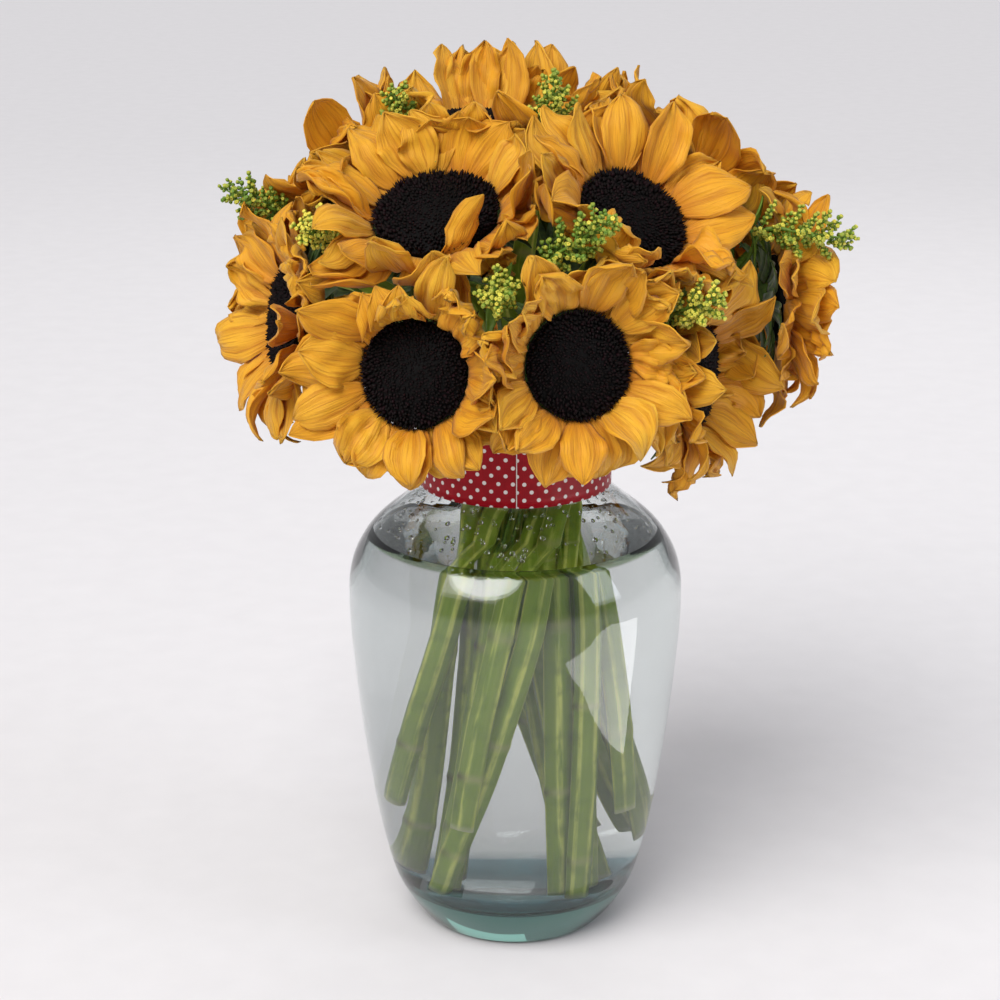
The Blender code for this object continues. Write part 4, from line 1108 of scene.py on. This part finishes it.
def bract_grid(head, angle, rng):
    """A narrow pointed leaf that starts behind the disc and bends back at its tip."""
    radial, t, a = head.radial(angle), BRACT_ROWS[:, None], BRACT_COLUMNS[None]
    length = rng.uniform(20, 32) * MM
    droop = rng.uniform(0.1, 0.9)
    reach = head.radius * BRACT_ROOT + length * (BRACT_ROWS - 0.18 * droop * BRACT_ROWS**2)
    height = -rng.uniform(6.5, 11) * MM + (5 * BRACT_ROWS - 14 * droop * BRACT_ROWS**2.4) * MM
    sway = rng.uniform(-7, 7) * MM * BRACT_ROWS**2
    sideways = np.cross(head.normal, radial)
    middle = head.centre + np.outer(reach, radial) + np.outer(height, head.normal) + np.outer(sway, sideways)
    half = rng.uniform(3.4, 4.8) * MM * np.interp(t, *BRACT_WIDTHS)
    fold = head.normal * (0.35 * half * np.abs(a))[..., None]
    grid = middle[:, None] + sideways * (a * half)[..., None] + fold
    flat = grid.reshape(-1, 3)
    for wall, way in head.walls:
        flat = flat - np.multiply.outer(np.maximum(0, (flat - wall) @ way + WALL_ROOM), way)
    return flat.reshape(grid.shape)


def add_calyx(shape, head, rng):
    """The cup behind a disc, and its bracts."""
    r = head.radius
    add_turned(shape, head, [(0, -CALYX_DEPTH), (4.5 * MM, -17 * MM), (0.4 * r, -13 * MM), (0.66 * r, -8 * MM),
                             (0.76 * r, -4.6 * MM), (0, -DISC_DEPTH - 0.3 * MM)], CALYX_SIDES, side=1)
    for k in range(BRACTS):
        grid = bract_grid(head, 2 * math.pi * (k + rng.uniform(-0.3, 0.3)) / BRACTS, rng)
        shape.add(*blade(grid, BRACT_THICKNESS), side=np.tile(BRACT_COLUMNS, 2 * len(BRACT_ROWS)))


print("calyx:", BRACTS, "bracts")

# %% [markdown]
# ## The stems
#
# A real stem is 11 mm thick and ridged along its length. It swells in a ring where each leaf was pulled off, and
# ends in a straight cut. All of that is in the radius: one number for each ring of the tube, times a wave round it
# for the ridges. A smooth tube with a bumpy finish would keep a smooth outline, and stems in water are seen by
# their outline.

# %% Stems
STEM_SEED = 400
STEM_RADIUS = 5.3 * MM
STEM_SIDES = 24
STEM_STEP = 3.6 * MM
STEM_REACH = 20 * MM
FLOWER_BACK = 20 * MM
INTO_CALYX = 6 * MM
RIDGES = (4, 5, 6)
RIDGE_DEPTH = 0.07
SCAR_SWELL = 0.08
SCAR_WIDTH = 2.6
STREAK_SHIFT = 400  # mm, so that no two stems carry the same streaks
LEAF_SCARS = (62, 104)  # from one leaf scar to the next, in mm
FIRST_SCAR = (20, 75)


def leaf_scars(length_mm, rng):
    """How close each place on a stem is to a ring: 1 at its middle."""
    places = []
    at = rng.uniform(*FIRST_SCAR)
    while at < length_mm[-1]:
        places.append(at)
        at += rng.uniform(*LEAF_SCARS)
    return np.max([np.exp(-((length_mm - place) / SCAR_WIDTH) ** 2) for place in places], axis=0)


turn = np.linspace(0, 2 * math.pi, STEM_SIDES, endpoint=False)
for number, head in enumerate(heads, 1):
    rng = np.random.default_rng(STEM_SEED + number)
    node = f"sunflower_{number:02d}_stem"
    back = head.centre - head.normal * FLOWER_BACK
    line = arch(packed_line(node, STEM_REACH), back, -head.normal, 10)
    line, length = resampled(np.vstack([line, back + head.normal * INTO_CALYX]), STEM_STEP)
    scar = leaf_scars(length / MM, rng)
    girth = STEM_RADIUS * (1 + SCAR_SWELL * scar + 0.03 * np.sin(length / (31 * MM) + number))
    ridge = np.cos(RIDGES[number % 3] * turn + number)
    points, faces = tube(line, girth, STEM_SIDES, wave=1 + RIDGE_DEPTH * ridge)
    points[:, 2] = np.maximum(points[:, 2], line[0][2])  # a straight cut
    stem = Shape()
    # the ridge mark also tells the finish where to paint the highlight on the ridges and the shade in the grooves
    stem.add(points, faces, ridge=round_each(ridge, len(line)), round_x=round_each(np.cos(turn), len(line)),
             round_y=round_each(np.sin(turn), len(line)),
             length_mm=each_ring(length / MM + STREAK_SHIFT * number, STEM_SIDES),
             scar=each_ring(np.clip(scar * 1.3 - 0.5, 0, 1) * 0.8, STEM_SIDES),
             cut=each_ring(np.where(length < CUT_ABOVE, 1.0, 0.0), STEM_SIDES))
    piece(node + "_ridged", stem, stem_skin, "stems", node)
    calyx = Shape()
    add_calyx(calyx, head, rng)
    piece(f"sunflower_{number:02d}_calyx", calyx, leaf_skin, "stems", node)
print("stems:", len(heads), "with", BRACTS, "bracts each")

# %% [markdown]
# ## The goldenrod's finish
#
# Goldenrod carries its flowers as tiny buds on short side sprigs, all round a thin stem. Most are still green, and
# they turn yellow at their rim where they start to open. A bud is fleshy, so each has one small soft highlight.
# Two marks do it: how near a point is to a bud's rim, and how ripe the bud is.

# %% Goldenrod finish
BUD_MOTTLES = 700  # per metre: the green changes every 1.4 mm, from bud to bud

bud_skin = new_finish("Goldenrod bud, opening")
tip, own = (add(bud_skin, "Attribute", {}, "Fac", attribute_name=key) for key in ("tip", "own"))
ripe = add(bud_skin, "Math", {0: tip, 1: own}, operation="MULTIPLY")
bud_place = add(bud_skin, "TexCoord", {}, "Object")
bud_noise = add(bud_skin, "TexNoise", {"Vector": bud_place, "Scale": BUD_MOTTLES})
bud_green = add(bud_skin, "Mix", {0: bud_noise, 6: linear("#3F6418"), 7: linear("#7F9E34")}, **COLOURS)
bud_colour = add(bud_skin, "Mix", {0: ripe, 6: bud_green, 7: linear("#EFDD52")}, **COLOURS)
bud_body = add(bud_skin, "BsdfPrincipled", {"Base Color": bud_colour, "Roughness": 0.5, "Specular IOR Level": 0.4})
add(bud_skin, "OutputMaterial", {"Surface": bud_body})
print("bud finish:", len(bud_skin.node_tree.nodes), "nodes")

# %% [markdown]
# ## Sprigs and leaves
#
# A bud is a small turned form with a dimple at its end. A particle system could scatter the buds, but it would not
# follow the sprigs. So each sprig is a thin curved tube with buds all along it, every one a golden angle further
# round than the last, and every copy is part of the same mesh.

# %% Sprigs of goldenrod
BUD_SIDES = 5
BUD_OUTLINE = ((0, 0), (0.55, 0.25), (0.95, 0.9), (1.0, 1.5), (0.82, 2.0), (0.42, 1.72), (0, 1.55))  # in radii
BUD_TIPS = (0, 0, 0.1, 0.6, 1.0, 0.75, 0.5)
BUD_SPACING = 0.84 * MM
TWIG_RADII = (0.45 * MM, 0.28 * MM)
NEXT_TURN = 2.4  # the golden angle, in radians
LEAF_WIDTHS = ((0, 0.2, 0.5, 0.8, 1), (0.2, 0.8, 1, 0.6, 0.04))
LEAF_THICKNESS = 0.5 * MM
UP = np.array((0, 0, 1.0))

bud_tips = np.concatenate([np.repeat(BUD_TIPS[1:-1], BUD_SIDES), [BUD_TIPS[0], BUD_TIPS[-1]]])


def add_sprig(shape, foot, way, length, yellow, rng):
    """A short side sprig, curved up a little, with buds all along it."""
    t = np.linspace(0, 1, 5)[:, None]
    line = foot + way * length * t + UP * 0.18 * length * t * t
    shape.add(*tube(line, np.interp(t[:, 0], (0, 1), TWIG_RADII), BUD_SIDES), tip=0, own=0)
    count = max(5, round(length / BUD_SPACING))
    at = np.linspace(0.25, 1.0, count)
    feet = np.column_stack([np.interp(at, t[:, 0], line[:, k]) for k in range(3)])
    side, other = two_across(way, (0.2, 0.3, 0.93))
    turn = np.arange(count) * NEXT_TURN + rng.uniform(0, 6)
    lean = np.where(at > 0.99, 0.05, rng.uniform(0.5, 1.1, count))
    out = side * np.cos(turn)[:, None] + other * np.sin(turn)[:, None]
    ways = unit(way * np.cos(lean)[:, None] + out * np.sin(lean)[:, None])
    sizes = rng.uniform(0.8, 1.25, count) * MM
    ripeness = np.clip(yellow + rng.normal(0, 0.25, count), 0, 1)
    shape.add(*copies(BUD_OUTLINE, BUD_SIDES, feet + ways * 0.5 * MM, ways, sizes), tip=np.tile(bud_tips, count),
              own=np.repeat(ripeness, len(bud_tips)))


def add_small_leaf(shape, foot, way, length, up):
    """A narrow leaf with a fold along its middle."""
    t, a = np.linspace(0, 1, 8)[:, None], np.linspace(-1, 1, 5)[None]
    side = unit(np.cross(way, up))
    half = 0.13 * length * np.interp(t, *LEAF_WIDTHS)
    bow = np.cross(side, way) * (0.5 * half * np.abs(a) - 0.2 * length * t * t)[..., None]
    grid = foot + way * (length * t + 0 * a)[..., None] + side * (a * half)[..., None] + bow
    shape.add(*blade(grid, LEAF_THICKNESS), tip=0, own=0)


print("bud:", len(bud_tips), "points")

# %% [markdown]
# ## The sprays
#
# A spray is a stem with sprigs all round its upper end, longest a little below their middle, and a few narrow
# leaves where they begin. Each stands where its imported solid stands. How yellow it is differs: the second one, at the
# left, is nearly open, the first is still green.

# %% Sprays of goldenrod
SPRAY_SEED = 500
SPRAY_YELLOW = (0.25, 1.0, 0.4, 0.5, 0.35, 0.6, 0.85, 0.55, 0.5, 0.7, 0.5)
SPRAY_PAST_END = (2, 10, 2, 2, 2, 2, 2, 2, 2, 2, 2)  # how far the sprigs go past the end, in mm
SPRAY_REACH = 14 * MM
SPRAY_STEP = 3.5 * MM
SPRAY_SIDES = 8
SPRIG_REACH = 12.5 * MM
SPRIG_SPACING = 1.6 * MM
SPRAY_RADII = (1.1 * MM, 1.1 * MM, 0.4 * MM)
THINNER_FROM = 40 * MM
SMALL_LEAVES = 4

for number, (a, b) in enumerate(sprays, 1):
    rng = np.random.default_rng(SPRAY_SEED + number)
    node = f"goldenrod_{number:02d}"
    spray = Shape()
    line = arch(packed_line(node, SPRAY_REACH), a, -unit(a), 8)
    spray_way = unit(b - a)
    line, length = resampled(np.vstack([line, (a + b) / 2 + UP * MM, b + spray_way * 2 * MM]), SPRAY_STEP)
    spray.add(*tube(line, np.interp(length, (0, length[-1] - THINNER_FROM, length[-1]), SPRAY_RADII), SPRAY_SIDES),
              tip=0, own=0)
    side, other = two_across(spray_way, (0.1, 0.2, 0.97))
    start, end = a - (b - a) * 0.14, b + spray_way * SPRAY_PAST_END[number - 1] * MM
    sprigs = round(np.linalg.norm(end - start) / SPRIG_SPACING)
    yellow = SPRAY_YELLOW[number - 1]
    for k in range(sprigs):
        t = (k + 0.5) / sprigs
        turn = NEXT_TURN * k + rng.uniform(-0.4, 0.4)
        out = side * math.cos(turn) + other * math.sin(turn)
        way = unit(out + spray_way * rng.uniform(0.5, 1.0))
        reach = SPRIG_REACH * (0.4 + 0.6 * math.sin(math.pi * (0.2 + 0.75 * t))) * rng.uniform(0.6, 1.15)
        add_sprig(spray, start + (end - start) * t * 0.96, way, reach, yellow, rng)
    add_sprig(spray, end - spray_way * 2 * MM, spray_way, 4 * MM, yellow, rng)
    for k in range(SMALL_LEAVES):
        turn = NEXT_TURN * k + rng.uniform(0, 6)
        way = unit(side * math.cos(turn) + other * math.sin(turn) + spray_way * rng.uniform(0.3, 1.2))
        foot = start - spray_way * rng.uniform(0, 9) * MM
        add_small_leaf(spray, foot, way, rng.uniform(15, 24) * MM, spray_way)
    piece(node + "_buds", spray, bud_skin, "goldenrod", node)
print("goldenrod:", len(sprays), "sprays")

# %% [markdown]
# ## The floor
#
# The bouquet stands in a plain pale studio, on matt backdrop paper. Paper shows no reflection, only soft shade, so
# nothing draws the eye from the flowers. The floor is one wide disc. Its edge is so far away that it meets the
# pale sky without a line.

# %% Floor
FLOOR_RADIUS = 12
FLOOR_SIDES = 96
FLOOR_BELOW = 0.0002  # just under the vase, so the two never share a surface
FIBRES = 40  # per metre: real fibres are too fine to show, so these are clouds of them, one every 25 mm

floor_finish = new_finish("Paper backdrop, matt")
floor_place = add(floor_finish, "TexCoord", {}, "Object")
fibre = add(floor_finish, "TexNoise", {"Vector": floor_place, "Scale": FIBRES, "Detail": 4})
paper = add(floor_finish, "Mix", {0: fibre, 6: linear("#DEDBDD"), 7: linear("#E5E2E4")}, **COLOURS)
paper_body = add(floor_finish, "BsdfPrincipled", {"Base Color": paper, "Roughness": 0.85})
add(floor_finish, "OutputMaterial", {"Surface": paper_body})
rim = [(math.cos(x) * FLOOR_RADIUS, math.sin(x) * FLOOR_RADIUS, -FLOOR_BELOW)
       for x in np.linspace(0, 2 * math.pi, FLOOR_SIDES, endpoint=False)]
floor_mesh = bpy.data.meshes.new("studio_floor")
floor_mesh.from_pydata(rim, [], [list(range(FLOOR_SIDES))])
floor_mesh.materials.append(floor_finish)
studio_floor = bpy.data.objects.new("studio_floor", floor_mesh)
bpy.context.scene.collection.objects.link(studio_floor)
print("floor:", 2 * FLOOR_RADIUS, "m wide")

# %% [markdown]
# ## The light
#
# The sky of the scene is a weak pale grey, so the glass shows grey behind the stems, from any side. A high sun
# with a very wide angle is the soft light of a ceiling and gives the petals their form. Three soft boxes add to
# it: a large one in front at the left, a weaker one at the right, and one behind that draws light edges. The last
# box lies low at the right and only shows as a bright patch on the vase, as a window would.

# %% Light
CEILING_STRENGTH = 2.2
CEILING_ANGLE = 45
CEILING_TURN = (34, -22, 0)
SKY_STRENGTH = 0.45

world = bpy.data.worlds.new("Studio")
bpy.context.scene.world = world
world.use_nodes = True
world.node_tree.nodes["Background"].inputs["Color"].default_value = linear("#F1F3F6")
world.node_tree.nodes["Background"].inputs["Strength"].default_value = SKY_STRENGTH


def soft_box(name, place, target, size, power, colour):
    """A lamp of a given width and height in metres and a power in watts, facing its target."""
    data = bpy.data.lights.new(name, "AREA")
    data.shape = "RECTANGLE"
    data.size, data.size_y = size
    data.energy = power
    data.color = linear(colour)[:3]
    box = bpy.data.objects.new(name, data)
    way = np.array(target) - np.array(place)
    box.location = place
    box.rotation_euler = (math.acos(-way[2] / np.linalg.norm(way)), 0, math.atan2(way[1], way[0]) - math.pi / 2)
    bpy.context.scene.collection.objects.link(box)
    return box


soft_box("key_box", (-0.9, -1.3, 1.6), (0, 0, 0.3), (1.5, 1.3), 13, "#FFFBF2")
soft_box("fill_box", (1.5, -0.7, 1.0), (0, 0, 0.3), (0.7, 1.2), 7, "#F4F8FF")
soft_box("back_box", (0.4, 1.6, 1.3), (0, 0, 0.35), (1.2, 0.9), 3.5, WHITE)
glint = soft_box("window_glint", (0.46, -0.2, 0.01), (0.46, -0.2, 1), (0.3, 0.5), 2.0, WHITE)
glint.visible_camera = glint.visible_diffuse = glint.visible_transmission = False
ceiling_data = bpy.data.lights.new("ceiling_light", "SUN")
ceiling_data.energy = CEILING_STRENGTH
ceiling_data.angle = math.radians(CEILING_ANGLE)
ceiling_light = bpy.data.objects.new("ceiling_light", ceiling_data)
ceiling_light.rotation_euler = [math.radians(turn) for turn in CEILING_TURN]
bpy.context.scene.collection.objects.link(ceiling_light)
print("light: four boxes, the ceiling and the sky")
